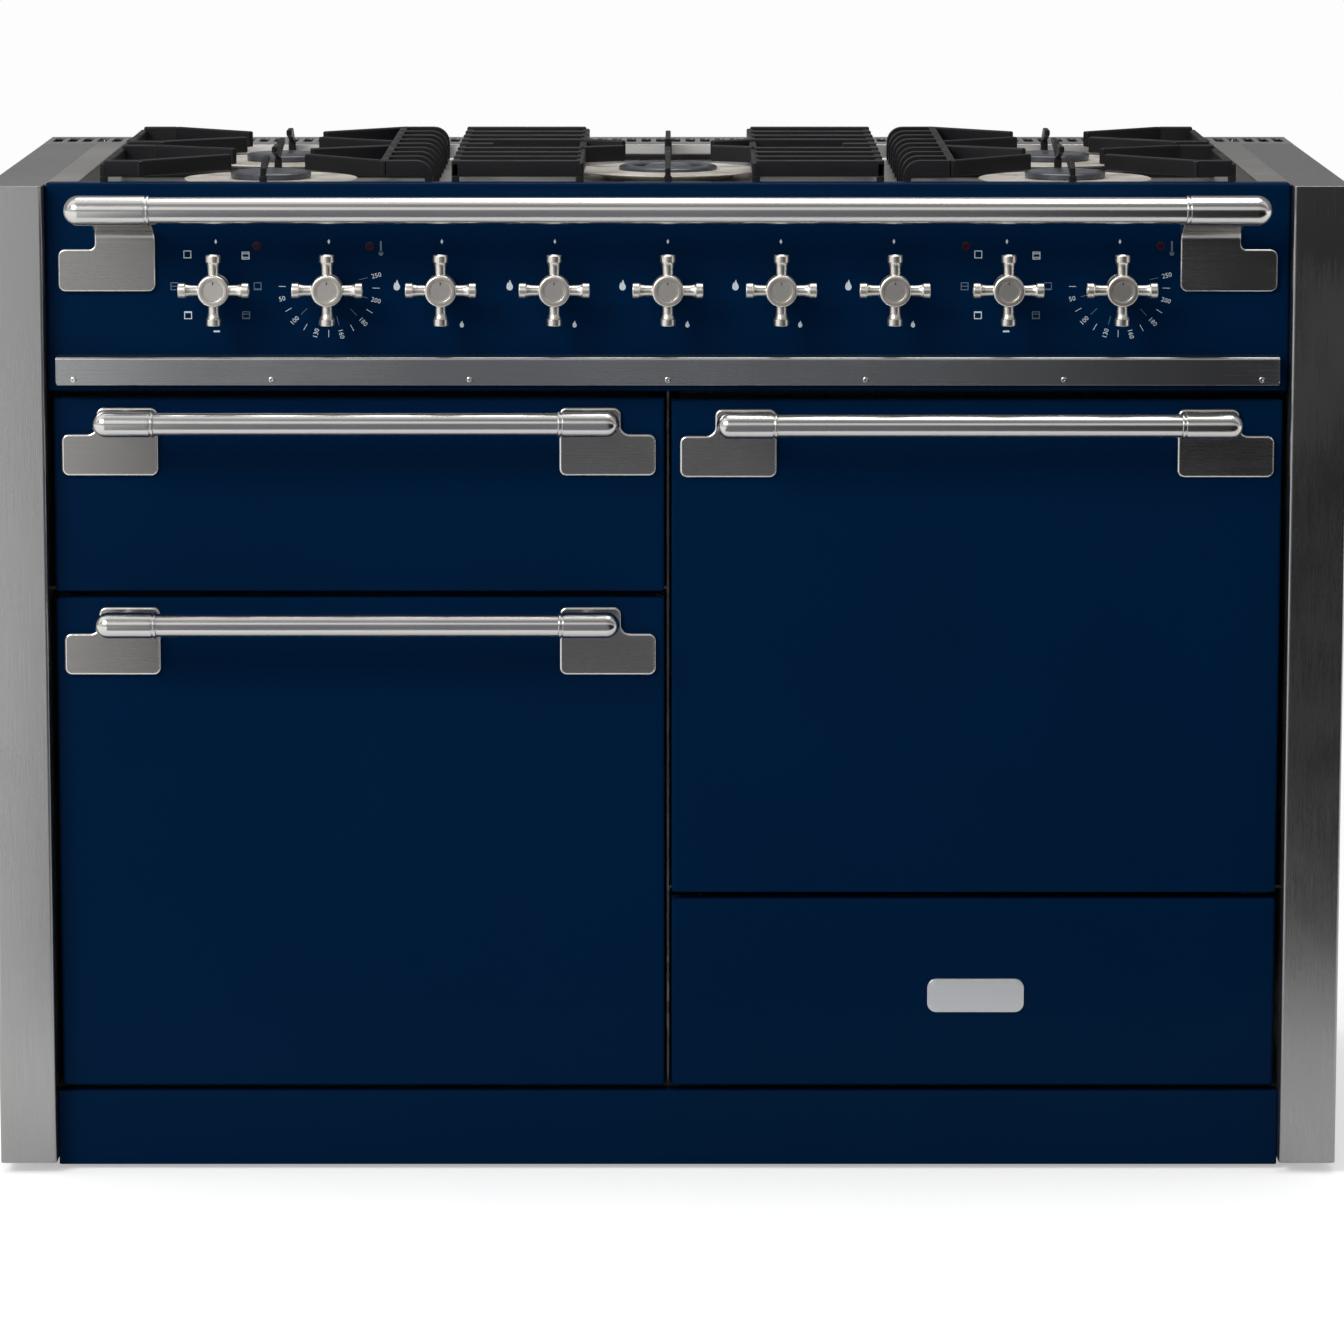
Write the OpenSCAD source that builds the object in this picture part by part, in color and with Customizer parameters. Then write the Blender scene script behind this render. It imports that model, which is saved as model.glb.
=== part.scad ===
// Range cooker of the 48 inch class: five gas burners, two ovens with drop-down doors,
// a glide-out grill and a storage drawer. Sizes are in millimetres.
// +X is to the right seen from the front, +Y to the back, +Z up.
// The origin is on the floor, under the centre of the whole cooker.

/* [Cabinet] */
// Overall width over the side panels
width = 1216; // [1180:1:1300]
// Depth of the side panels
depth = 620; // [600:1:680]
// Width of each side panel's front face
panel_w = 51; // [45:1:70]
// Height of the side panels' lower edge above the floor
panel_foot = 10; // [8:1:20]
// Thickness of the folded sheet
skin = 1.5; // [1:0.1:2]
// How far the doors and the fascia stand back from the side panels' front
setback = 20; // [10:1:30]
// Depth of the side panels' inner leaf at the front
front_leaf = 72; // [70:1:90]
// Depth of the side panels' inner leaf at the back
back_leaf = 40; // [30:1:60]
// How far the back panel stands in from the back
back_inset = 20; // [18:1:30]
// Thickness of the chassis plates and the back panel
plate_t = 2; // [1.5:0.1:3]
// Seam between neighbouring sheets
seam = 0.3; // [0.2:0.1:0.5]
// Lower edge of the plinth above the floor
plinth_foot = 4; // [3:1:8]
// Height of the plinth
plinth_h = 69; // [60:1:80]
// Depth of the plinth
plinth_d = 20; // [15:1:30]

/* [Doors and drawers] */
// Gap between the plinth and the lowest fronts
floor_gap = 5; // [4:0.5:8]
// Gap between a front and the side panel
side_gap = 5; // [3:0.5:8]
// Gap between the left and the right fronts
mid_gap = 6.4; // [4:0.1:9]
// Gap between one front and the next above it
row_gap = 5.5; // [5:0.1:8]
// Gap between the top fronts and the fascia
fascia_gap = 6; // [4:0.1:9]
// Height of the left oven door
left_door_h = 450; // [430:1:470]
// Height of the grill front
grill_h = 175.5; // [165:0.5:190]
// Height of the storage drawer front
storage_h = 173.5; // [165:0.5:190]
// Height of the right oven door
right_door_h = 450.5; // [430:0.5:455]
// Thickness of an oven door with its liner
door_t = 40; // [38:1:50]
// Thickness of the door liner
liner_t = 4; // [3:0.5:6]
// Radius of the soft edge round each front
edge_r = 4; // [2:0.5:6]
// Thickness of the drawer and grill fronts
drawer_front_t = 22; // [20:1:30]
// Height of the hinge axis above the door's lower edge
hinge_up = 10; // [9:0.5:12]
// Depth of the hinge axis behind the door's face
hinge_in = 10; // [10:0.5:12]
// Diameter of the hinge pins
hinge_pin_d = 8; // [6:0.5:9]
// Running clearance round a pin or a spindle
run_gap = 0.05; // [0.03:0.01:0.08]
// Distance from the door's side edge to the middle of its hinge
hinge_inset = 48; // [40:1:70]
// Thickness of a hinge arm
hinge_arm_t = 5; // [4:0.5:7]
// Thickness of the door seal
seal_t = 2.2; // [1.5:0.1:3]

/* [Handles] */
// Diameter of the top rail's tube
rail_d = 24; // [20:0.5:28]
// Diameter of the top rail's end caps
rail_cap_d = 26.5; // [24:0.5:30]
// Half the length of the top rail's tube
rail_half = 458; // [420:1:480]
// Length of each end cap on the top rail
rail_cap_l = 76; // [60:1:85]
// Distance of the top rail's axis in front of the fascia
rail_out = 60; // [50:1:75]
// Height of the top rail's axis below the fascia's top
rail_drop = 20; // [16:0.5:24]
// Diameter of a door handle's tube
handle_d = 21; // [18:0.5:22]
// Diameter of a door handle's end caps
handle_cap_d = 23.5; // [22.5:0.5:25]
// Length of each end cap on a door handle
handle_cap_l = 54.5; // [45:0.5:60]
// Distance of a door handle's axis in front of the door
handle_out = 50; // [40:1:60]
// Height of a door handle's axis below the door's top
handle_drop = 18; // [16:0.5:22]
// Distance from the door's side edge to the outer end of the handle's bracket
bracket_edge = 7.5; // [5:0.5:20]
// Width of a bracket's lower plate
bracket_w = 87; // [75:0.5:95]
// Height of a bracket's lower plate
bracket_h = 38; // [30:0.5:45]
// Thickness of a bracket
bracket_t = 5; // [4:0.5:7]
// Height from a door's top down to the lower edge of its brackets
bracket_drop = 70; // [66:0.5:80]
// Height from a door's top down to the upper edge of its brackets
bracket_top_drop = 8; // [4:0.5:9]
// Corner radius of a bracket
bracket_r = 6.5; // [4:0.5:9]
// Radius in the inner corner of a bracket
bracket_fillet = 8; // [5:0.5:10]
// Lower edge of the top rail's brackets below the fascia's top
rail_bracket_drop = 97; // [90:0.5:105]
// Width of the neck of the top rail's brackets
rail_neck_w = 54; // [45:0.5:60]
// Bend radius of that neck, at the middle of its thickness
rail_neck_bend = 14; // [10:0.5:18]
// Wall of every handle tube
tube_wall = 1.5; // [1:0.1:2.5]

/* [Fascia] */
// Height of the fascia
fascia_h = 187; // [180:1:200]
// Depth of the fascia's folded edges
fascia_d = 16; // [12:1:20]
// Height of the knobs' axis above the fascia's lower edge
knob_up = 94; // [85:1:100]
// Distance between neighbouring knobs
knob_pitch = 101; // [90:0.5:105]
// Height of the trim's lower edge above the fascia's lower edge
trim_up = 7.5; // [4:0.5:10]
// Height of the trim
trim_h = 25.5; // [20:0.5:30]
// How far the trim stands out from the fascia
trim_out = 20; // [12:0.5:24]
// Distance from the fascia's side edge to the trim's end
trim_inset = 10; // [6:0.5:20]
// Thickness of the trim sheet
trim_t = 1.2; // [1:0.1:2]
// Distance between neighbouring trim screws
trim_pitch = 177; // [150:1:178]

/* [Knobs] */
// Diameter of a knob's hub
hub_d = 28.5; // [26:0.5:34]
// Length of a knob's hub, along its axis
hub_l = 18; // [15:0.5:22]
// How far a knob projects from the fascia
knob_out = 45; // [40:0.5:50]
// Gap between a knob's skirt and the fascia
knob_gap = 4; // [3.6:0.1:6]
// Diameter of a knob's neck
knob_neck_d = 17; // [14:0.5:22]
// Diameter of a knob's skirt
skirt_d = 24; // [20:0.5:28]
// Thickness of a knob's skirt
skirt_t = 3; // [2:0.5:5]
// Span over two opposite arms of a knob
arm_span = 63; // [56:0.5:70]
// Diameter of an arm at the hub
arm_root_d = 9.5; // [8:0.5:11]
// Diameter of an arm at its tip
arm_tip_d = 13.5; // [11:0.5:15]
// Length of the collar at an arm's tip
arm_collar = 3; // [2:0.5:5]
// Diameter of the knob spindles
spindle_d = 8; // [6:0.5:9]
// Depth of a knob's bore
knob_bore = 24; // [20:1:28]
// Travel of a gas knob when it is pushed in
push_travel = 3; // [2:0.1:3.5]

/* [Hob] */
// Depth of the hob tray, from the side panels' front
tray_back = 530; // [525:1:545]
// Width of the raised border at the tray's sides
tray_side = 28; // [24:1:30]
// Width of the raised border at the tray's front
tray_front = 30; // [24:1:34]
// Width of the raised border at the tray's back
tray_rear = 8; // [8:0.5:12]
// Depth of the well in the tray
well_depth = 15; // [12:0.5:16]
// Corner radius of the well
well_r = 10; // [8:1:30]
// Top of the grates above the side panels
grate_up = 17.5; // [15:0.5:24]
// Height of a grate bar
bar_h = 15; // [12:0.5:17]
// Width of a grate bar
bar_w = 7; // [5:0.5:9]
// Front of the grates, from the side panels' front
grate_front = 75; // [72:1:85]
// Depth of the grates
grate_d = 441; // [430:1:445]
// Half the width of the middle grate
mid_grate_half = 195; // [190:1:200]
// Half the width of the open middle of that grate
mid_open_half = 83; // [80:1:88]
// Number of cross bars on each side of the middle grate
mid_bars = 9; // [7:1:10]
// Distance of a side grate's inner edge from the middle
side_grate_in = 212; // [208:1:218]
// Distance of a side grate's outer edge from the middle
side_grate_out = 512; // [508:1:519]
// Number of rounded bar ends along a side grate
comb_bars = 9; // [8:1:10]
// Length of those short bars
comb_l = 44; // [40:1:48]
// Distance of the side burners from the middle
burner_x = 365; // [360:1:372]
// Front burners, from the side panels' front
burner_front = 190; // [182:1:196]
// Rear burners, from the side panels' front
burner_rear = 412; // [405:1:420]
// Wok burner, from the side panels' front
wok_y = 297; // [290:1:305]
// Diameter of a side burner's dish
dish_d = 159; // [140:1:165]
// Diameter of the wok burner's dish
wok_d = 169; // [150:1:172]
// Diameter of a side burner's cap
cap_d = 74; // [60:1:85]
// Diameter of the wok burner's ring cap
wok_cap_d = 92; // [84:1:96]
// Distance from a burner's axis to the tips of the grate fingers
finger_clear = 50; // [45:1:56]
// Length of a slot in the rear vent
slot_l = 50; // [40:1:56]
// Width of a slot in the rear vent
slot_w = 9.3; // [6:0.1:11]
// Distance between neighbouring slots
slot_pitch = 14.4; // [13:0.1:16]
// Height of the rear vent's back and front walls
vent_h = 46; // [36:1:60]

/* [Ovens] */
// Inner width of the oven cavities
cavity_w = 430; // [410:1:440]
// Inner height of the oven cavities
cavity_h = 340; // [320:1:345]
// Inner depth of the oven cavities
cavity_d = 420; // [400:1:430]
// Height of a cavity's floor above its door's lower edge
cavity_up = 62; // [58:1:66]
// Thickness of the cavity walls
wall_t = 1.5; // [1:0.1:2.5]
// Corner radius of a cavity
cavity_r = 14; // [8:1:20]
// Distance of the fan cover in front of the cavity's back wall
fan_space = 36; // [34:1:44]
// Diameter of the oven fans
fan_d = 150; // [130:1:170]
// Number of blades on a fan
fan_blades = 12; // [8:1:16]
// Diameter of the ring heating elements
ring_d = 196; // [190:1:215]
// Diameter of the heating elements' tube
element_d = 7; // [6:0.5:8]
// Diameter of a rack's outer wire
rack_wire_d = 6; // [5:0.5:8]
// Diameter of a rack's cross wires
rack_bar_d = 3; // [2.5:0.5:4]
// Distance between neighbouring cross wires
rack_pitch = 24; // [20:1:30]
// Front to back size of a rack
rack_d = 360; // [330:1:370]

/* [Grill and storage] */
// Inner width of the grill chamber
grill_w = 440; // [420:1:445]
// Inner height of the grill chamber
grill_cavity_h = 124; // [115:1:128]
// Inner depth of the grill chamber
grill_d = 430; // [400:1:440]
// Height of the runners' underside above the grill chamber's floor
grill_runner_up = 20; // [12:1:26]
// Width of a grill pan's inside
pan_w = 384; // [360:1:386]
// Depth of a grill pan, front to back
pan_d = 360; // [330:1:370]
// Height of the grill pan
pan_h = 34; // [28:1:38]
// Width of the storage box
storage_w = 470; // [450:1:478]
// Length of the storage box, front to back
storage_d = 430; // [400:1:440]
// Height of the storage box
storage_box_h = 118; // [105:1:122]
// Height of a drawer slide
slide_h = 18; // [15:0.5:22]
// Thickness of a drawer slide
slide_t = 9; // [7:0.5:11]
// Clearance round a drawer slide in its channel
slide_gap = 0.4; // [0.3:0.1:0.6]

/* [Services] */
// Outside diameter of the gas inlet's thread
inlet_d = 21; // [19:0.5:27]
// Diameter of the gas manifold
manifold_d = 20; // [16:0.5:24]
// Diameter of the hole for the mains cable
cable_hole_d = 12; // [10:0.5:13]
// Diameter of the wall fixing holes
fixing_hole_d = 6; // [5:0.5:8]
// Distance between the wall fixing holes
fixing_pitch = 600; // [400:10:800]
// Diameter of a levelling foot
foot_d = 50; // [40:1:60]
// Thickness of a levelling foot's pad
foot_pad_t = 8; // [6:0.5:9]
// Diameter of a levelling foot's screw
foot_screw_d = 10; // [8:0.5:14]

/* [Hidden] */
$fn = 48;

// Enamel, steels and irons
NAVY = [0.02, 0.1, 0.2];
STEEL = [0.6, 0.61, 0.62];
BRIGHT = [0.8, 0.8, 0.79];
IRON = [0.1, 0.1, 0.11];
ENAMEL_BLACK = [0.13, 0.13, 0.15];
GALVANISED = [0.55, 0.57, 0.58];
ALUMINIUM = [0.78, 0.78, 0.76];
BRASS = [0.7, 0.5, 0.3];
RUBBER = [0.15, 0.15, 0.15];

// Main planes, left to right
inner_x = width / 2 - panel_w;
column_w = inner_x - side_gap - mid_gap / 2;
column_x = mid_gap / 2 + column_w / 2;

// Main planes, front to back
front_reach = max(rail_out + rail_cap_d / 2, handle_out + handle_cap_d / 2, knob_out) - setback;
front_y = (front_reach - depth) / 2;
back_y = front_y + depth;
face_y = front_y + setback;
door_back_y = face_y + door_t;
frame_y = door_back_y + seam + seal_t;
chassis_y = frame_y + wall_t;
back_panel_y = back_y - back_inset - plate_t;

// Main planes, floor to hob
plinth_top = plinth_foot + plinth_h;
fronts_z = plinth_top + floor_gap;
grill_z = fronts_z + left_door_h + row_gap;
right_door_z = fronts_z + storage_h + row_gap;
fronts_top = max(grill_z + grill_h, right_door_z + right_door_h);
fascia_z = fronts_top + fascia_gap;
left_shelf_z = grill_z - row_gap / 2;
right_shelf_z = right_door_z - row_gap / 2;
fascia_top = fascia_z + fascia_h;
tray_top = fascia_top - skin;
well_z = tray_top - well_depth;
panel_top = tray_top;
deck_z = fascia_z + plate_t;
grate_top = panel_top + grate_up;
knob_z = fascia_z + knob_up;

// Gas knobs are the third to the seventh of the nine
KNOB_COUNT = 9;
FIRST_GAS = 3;
LAST_GAS = 7;
GAS_KNOBS = [for (i = [FIRST_GAS:LAST_GAS]) i];
SWITCH_KNOBS = [1, 2, 8, 9];
BURNERS = [
    [-burner_x, front_y + burner_front],
    [-burner_x, front_y + burner_rear],
    [burner_x, front_y + burner_front],
    [burner_x, front_y + burner_rear]
];

function knob_x(i) = (i - (KNOB_COUNT + 1) / 2) * knob_pitch;

// A block from its low corner to its high corner
module block(low, high) {
    translate(low) cube(high - low);
}

// The children and their mirror image in the plane through the middle
module both_sides() {
    children();
    mirror([1, 0, 0]) children();
}

// An outline in X and Z with a thickness from y towards the back
module upright(y, t) {
    translate([0, y + t, 0]) rotate([90, 0, 0]) linear_extrude(t) children();
}

// An outline in Y and Z with a length along X from x
module across(x, length) {
    translate([x, 0, 0]) rotate([90, 0, 90]) linear_extrude(length) children();
}

// A round bar along X, Y or Z, from a point, with a length
module bar_x(from, length, d) {
    translate(from) rotate([0, 90, 0]) cylinder(d = d, h = length);
}
module bar_y(from, length, d) {
    translate(from) rotate([-90, 0, 0]) cylinder(d = d, h = length);
}
module bar_z(from, length, d) {
    translate(from) cylinder(d = d, h = length);
}

// A rectangle with four round corners, from its low corner
module round_rect(low, size, r) {
    translate(low) {
        translate([r, 0]) square([size.x - 2 * r, size.y]);
        translate([0, r]) square([size.x, size.y - 2 * r]);
        for (x = [r, size.x - r], y = [r, size.y - r]) translate([x, y]) circle(r);
    }
}

// A rectangle whose two corners on the low side of y are round
module soft_front(low, size, r) {
    translate(low) {
        translate([r, 0]) square([size.x - 2 * r, size.y]);
        translate([0, r]) square([size.x, size.y - r]);
        for (x = [r, size.x - r]) translate([x, r]) circle(r);
    }
}

// The rounded block that a door, a drawer front or the fascia is folded from
module soft_block(low, high, r) {
    size = high - low;
    intersection() {
        translate([0, 0, low.z]) linear_extrude(size.z) soft_front([low.x, low.y], [size.x, size.y], r);
        across(low.x, size.x)
            mirror([1, -1]) soft_front([low.z, low.y], [size.z, size.y], r);
    }
}

// A sheet folded into a shallow pan that is open at the back
module folded_front(x, z, w, h, t) {
    low = [x - w / 2, face_y, z];
    high = [x + w / 2, face_y + t, z + h];
    difference() {
        soft_block(low, high, edge_r);
        block(low + [skin, skin, skin], high + [-skin, skin, -skin]);
    }
}

/* Cabinet */

module side_panel() {
    difference() {
        block([inner_x, front_y, panel_foot], [width / 2, back_y, panel_top]);
        block([inner_x - skin, front_y + front_leaf, panel_foot + skin],
            [width / 2 - skin, back_y - back_leaf, panel_top - skin]);
        block([inner_x + skin, front_y + skin, panel_foot + skin],
            [width / 2 - skin, back_y - skin, panel_top - skin]);
        // The vent's top sheet lies over the panel here
        block([inner_x - skin, front_y + tray_back, panel_top - skin - seam],
            [width / 2 + skin, back_y + skin, panel_top + skin]);
    }
}

module side_panel_left() {
    color(STEEL) mirror([1, 0, 0]) side_panel();
}

module side_panel_right() {
    color(STEEL) side_panel();
}

// Cheeks that carry the storage drawer's channels
CHEEK_T = 2;
FLANGE_T = 1.5;
channel_w = slide_t + 3;
cheek_half = storage_w / 2 + channel_w;
storage_slide_z = fronts_z + (storage_h - slide_h) / 2;

// The two flanges of a channel that a slide runs in, on the high side of x
module channel_flanges(x, z, length, w = channel_w - 1) {
    for (side = [0, 1]) {
        low_z = z - slide_gap - FLANGE_T + side * (slide_h + 2 * slide_gap + FLANGE_T);
        block([x - w, chassis_y + seam, low_z], [x, chassis_y + length, low_z + FLANGE_T]);
    }
}

module storage_cheek() {
    block([column_x + cheek_half, chassis_y + seam, plinth_top + seam],
        [column_x + cheek_half + CHEEK_T, back_panel_y - seam, right_shelf_z - plate_t / 2 - seam]);
    channel_flanges(column_x + cheek_half, storage_slide_z, storage_d);
}

// A level plate of the chassis from x0 to x1, with its top at z
module chassis_plate(x0, x1, z, front = chassis_y) {
    block([x0, front, z - plate_t], [x1, back_panel_y - seam, z]);
}

module chassis() {
    half = inner_x - seam;
    wall = plate_t / 2;
    color(GALVANISED) {
        chassis_plate(-half, half, plinth_top, face_y + plinth_d);
        chassis_plate(-half, half, deck_z);
        chassis_plate(-half, -wall - seam, left_shelf_z + plate_t / 2);
        chassis_plate(wall + seam, half, right_shelf_z + plate_t / 2);
        block([-wall, chassis_y, plinth_top + seam], [wall, back_panel_y - seam, deck_z - plate_t - seam]);
        storage_cheek();
        translate([2 * column_x, 0, 0]) mirror([1, 0, 0]) storage_cheek();
    }
}

// Places on the back: gas inlet, cable box and wall fixings
inlet_x = inner_x - 60;
inlet_z = deck_z + 60;
cable_x = -inner_x + 120;
cable_z = plinth_top + 90;
CABLE_BOX = [110, 17, 80];
fixing_z = plinth_top + 560;

module back_panel() {
    INLET_ROOM = 3;
    half = inner_x - seam;
    rear = back_panel_y + plate_t;
    through = plate_t + 2;
    box_low = [cable_x - CABLE_BOX.x / 2, rear, cable_z - CABLE_BOX.z / 2];
    box_wall = [plate_t, plate_t, plate_t];
    color(GALVANISED) difference() {
        union() {
            block([-half, back_panel_y, plinth_top - plate_t], [half, rear, panel_top - vent_h]);
            difference() {
                block(box_low, box_low + CABLE_BOX);
                block(box_low + [plate_t, -1, plate_t], box_low + CABLE_BOX - box_wall);
            }
        }
        bar_y([inlet_x, back_panel_y - 1, inlet_z], through, inlet_d + INLET_ROOM);
        bar_z([cable_x, rear + (CABLE_BOX.y - plate_t) / 2, box_low.z - 1], through, cable_hole_d);
        for (side = [-1, 1])
            bar_y([side * fixing_pitch / 2, back_panel_y - 1, fixing_z], through, fixing_hole_d);
    }
}

module plinth() {
    half = inner_x - seam;
    low = [-half, face_y, plinth_foot];
    high = [half, face_y + plinth_d, plinth_top];
    color(NAVY) difference() {
        soft_block(low, high, skin);
        block(low + [skin, skin, skin], high + [-skin, skin, -skin]);
    }
}

module levelling_feet() {
    FOOT_IN = 70;
    NUT_D = 17;
    NUT_H = 6;
    stem_top = plinth_top - plate_t;
    color(GALVANISED) for (x = [-1, 1], y = [face_y + FOOT_IN, back_y - FOOT_IN]) {
        translate([x * (inner_x - FOOT_IN), y, 0]) {
            cylinder(d = foot_d, h = foot_pad_t);
            cylinder(d = foot_screw_d, h = stem_top);
            translate([0, 0, foot_pad_t]) cylinder(d = NUT_D, h = NUT_H, $fn = 6);
        }
    }
}

/* Fascia */

SPINDLE_HOLE = 4;

module fascia() {
    half = inner_x - seam;
    low = [-half, face_y, fascia_z];
    high = [half, face_y + fascia_d, fascia_top];
    color(NAVY) difference() {
        soft_block(low, high, edge_r);
        block(low + [skin, skin, skin], high + [-skin, skin, -skin]);
        block([-half - 1, face_y + skin, tray_top - skin - seam], [half + 1, high.y + 1, tray_top]);
        for (i = [1:KNOB_COUNT])
            bar_y([knob_x(i), face_y - 1, knob_z], skin + 2, spindle_d + SPINDLE_HOLE);
    }
}

// A folded trim strip along the fascia's lower edge, open below and behind
TRIM_CORNER = 5;
trim_half = inner_x - trim_inset;
trim_z = fascia_z + trim_up;
TRIM_SCREWS = 7;
TRIM_SCREW_D = 3;
TRIM_SCREW_UP = 5;
trim_screw_z = trim_z + TRIM_SCREW_UP;

function trim_screw_x(i) = (i - (TRIM_SCREWS - 1) / 2) * trim_pitch;

module fascia_trim() {
    face = face_y - trim_out;
    color(STEEL) difference() {
        intersection() {
            block([-trim_half, face, trim_z], [trim_half, face_y, trim_z + trim_h]);
            upright(face, trim_out)
                round_rect([-trim_half, trim_z], [2 * trim_half, trim_h + TRIM_CORNER], TRIM_CORNER);
        }
        block([-trim_half + trim_t, face + trim_t, trim_z - 1],
            [trim_half - trim_t, face_y + 1, trim_z + trim_h - trim_t]);
        for (i = [0:TRIM_SCREWS - 1])
            bar_y([trim_screw_x(i), face - 1, trim_screw_z], trim_t + 2, TRIM_SCREW_D + 2 * seam);
    }
}

module trim_screws() {
    HEAD_D = 5.4;
    HEAD_T = 1;
    face = face_y - trim_out;
    color(BRIGHT) for (i = [0:TRIM_SCREWS - 1]) {
        bar_y([trim_screw_x(i), face, trim_screw_z], trim_out, TRIM_SCREW_D);
        bar_y([trim_screw_x(i), face - HEAD_T, trim_screw_z], HEAD_T, HEAD_D);
    }
}

/* Handles */

CAP_GROOVE = 1.2;
CAP_BEAD = 2.5;
SPIGOT = 10;

// An end cap along +X: a spigot inside the tube, a bead, a groove, the body and a domed end
module end_cap(d, length, bore) {
    r = d / 2;
    rotate([0, 90, 0]) rotate_extrude() {
        translate([0, -SPIGOT]) square([bore / 2 - seam, SPIGOT]);
        square([r, CAP_BEAD]);
        translate([0, CAP_BEAD]) square([r - CAP_GROOVE, CAP_GROOVE]);
        translate([0, CAP_BEAD + CAP_GROOVE]) square([r, length - r - CAP_BEAD - CAP_GROOVE]);
        translate([0, length - r]) intersection() {
            circle(r);
            square(r);
        }
    }
}

// A tube with a cap on each end, centred on x
module handle_rail(x, y, z, half, d, cap_d, cap_l) {
    color(BRIGHT) translate([x, y, z]) {
        rotate([0, 90, 0]) difference() {
            cylinder(d = d, h = 2 * (half - seam), center = true);
            cylinder(d = d - 2 * tube_wall, h = 2 * half, center = true);
        }
        both_sides() translate([half, 0, 0]) end_cap(cap_d, cap_l, d - 2 * tube_wall);
    }
}

// The round inner corner beside a neck of width w that rises from height h
module inner_corner(w, h, r) {
    difference() {
        translate([w - r, h - r]) square(2 * r);
        translate([w + r, h + r]) circle(r);
    }
}

// Outline of a bracket: a wide lower plate and a narrower upper part, inner edge at x = 0
module bracket_outline(neck_w, full_h) {
    round_rect([0, 0], [bracket_w, bracket_h], bracket_r);
    round_rect([0, 0], [neck_w, full_h], bracket_r);
    inner_corner(neck_w, bracket_h, bracket_fillet);
}

// Half the length of a door handle's tube
handle_half = column_w / 2 - bracket_edge - bracket_w;
BOSS_D = 15;

// The bracket at one end of a door handle, with the post that carries the end cap
module door_bracket(top) {
    z = top - bracket_drop;
    axis_z = top - handle_drop;
    boss_x = handle_half + handle_cap_l / 2;
    difference() {
        union() {
            upright(face_y - bracket_t, bracket_t)
                translate([handle_half, z])
                    bracket_outline(handle_cap_l + 1, bracket_drop - bracket_top_drop);
            bar_y([boss_x, face_y - handle_out, axis_z], handle_out - bracket_t / 2, BOSS_D);
        }
        bar_x([handle_half - 1, face_y - handle_out, axis_z], handle_cap_l + 2, handle_cap_d + 2 * seam);
    }
}

module handle_brackets(x, top) {
    color(STEEL) translate([x, 0, 0]) both_sides() door_bracket(top);
}

module door_handle(x, top) {
    handle_rail(x, face_y - handle_out, top - handle_drop, handle_half, handle_d, handle_cap_d, handle_cap_l);
}

// The top rail and its brackets
rail_y = face_y - rail_out;
rail_z = fascia_top - rail_drop;
rail_bracket_z = fascia_top - rail_bracket_drop;

module top_rail() {
    handle_rail(0, rail_y, rail_z, rail_half, rail_d, rail_cap_d, rail_cap_l);
}

NECK_FILLET = 5;
NECK_RISE = 6;

// The neck leaves the fascia at bend_z, bends forward and runs straight to the rail's axis
module neck_profile() {
    mid_y = face_y - bracket_t / 2;
    bend_z = rail_bracket_z + bracket_h + NECK_RISE;
    centre = [mid_y - rail_neck_bend, bend_z];
    reach = [rail_y, rail_z] - centre;
    turn = atan2(reach.y, reach.x) - acos(rail_neck_bend / norm(reach));
    run = sqrt(pow(norm(reach), 2) - pow(rail_neck_bend, 2));
    outer = rail_neck_bend + bracket_t / 2;
    inner = rail_neck_bend - bracket_t / 2;
    translate([mid_y - bracket_t / 2, rail_bracket_z + bracket_h / 2])
        square([bracket_t, bend_z - rail_bracket_z - bracket_h / 2]);
    translate(centre) {
        intersection() {
            difference() {
                circle(outer);
                circle(inner);
            }
            polygon([[0, 0], [2 * outer, 0], [2 * outer * cos(turn), 2 * outer * sin(turn)]]);
        }
        rotate(turn) translate([inner, 0]) square([bracket_t, run]);
    }
}

module rail_bracket() {
    neck_x = rail_half;
    difference() {
        union() {
            upright(face_y - bracket_t, bracket_t) translate([neck_x, rail_bracket_z]) {
                round_rect([0, 0], [bracket_w, bracket_h], bracket_r);
                inner_corner(rail_neck_w, bracket_h, NECK_FILLET);
            }
            across(neck_x, rail_neck_w) neck_profile();
        }
        bar_x([neck_x - 1, rail_y, rail_z], rail_neck_w + 2, rail_cap_d + 2 * seam);
    }
}

module top_rail_brackets() {
    color(STEEL) both_sides() rail_bracket();
}

/* Hob */

// Holes in the tray below the burners, as a part of the dish's diameter
BURNER_HOLE = 0.62;

module hob_tray() {
    half = inner_x - seam;
    front = face_y + skin + seam;
    back = front_y + tray_back;
    well_low = [-half + tray_side, front + tray_front];
    well_size = [2 * (half - tray_side), back - front - tray_front - tray_rear];
    color(STEEL) {
        translate([0, 0, tray_top - skin]) linear_extrude(skin) difference() {
            translate([-half, front]) square([2 * half, back - front]);
            round_rect(well_low, well_size, well_r);
        }
        translate([0, 0, well_z - skin]) linear_extrude(tray_top - well_z + skin) difference() {
            round_rect(well_low - [skin, skin], well_size + 2 * [skin, skin], well_r + skin);
            round_rect(well_low, well_size, well_r);
        }
        translate([0, 0, well_z - skin]) linear_extrude(skin) difference() {
            round_rect(well_low, well_size, well_r);
            for (b = BURNERS) translate(b) circle(d = dish_d * BURNER_HOLE);
            translate([0, front_y + wok_y]) circle(d = wok_d * BURNER_HOLE);
        }
    }
}

// A slot with round ends that runs forward from the origin
module vent_slot() {
    translate([-slot_w / 2, slot_w / 2 - slot_l]) square([slot_w, slot_l - slot_w]);
    for (y = [-slot_w / 2, slot_w / 2 - slot_l]) translate([0, y]) circle(d = slot_w);
}

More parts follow.
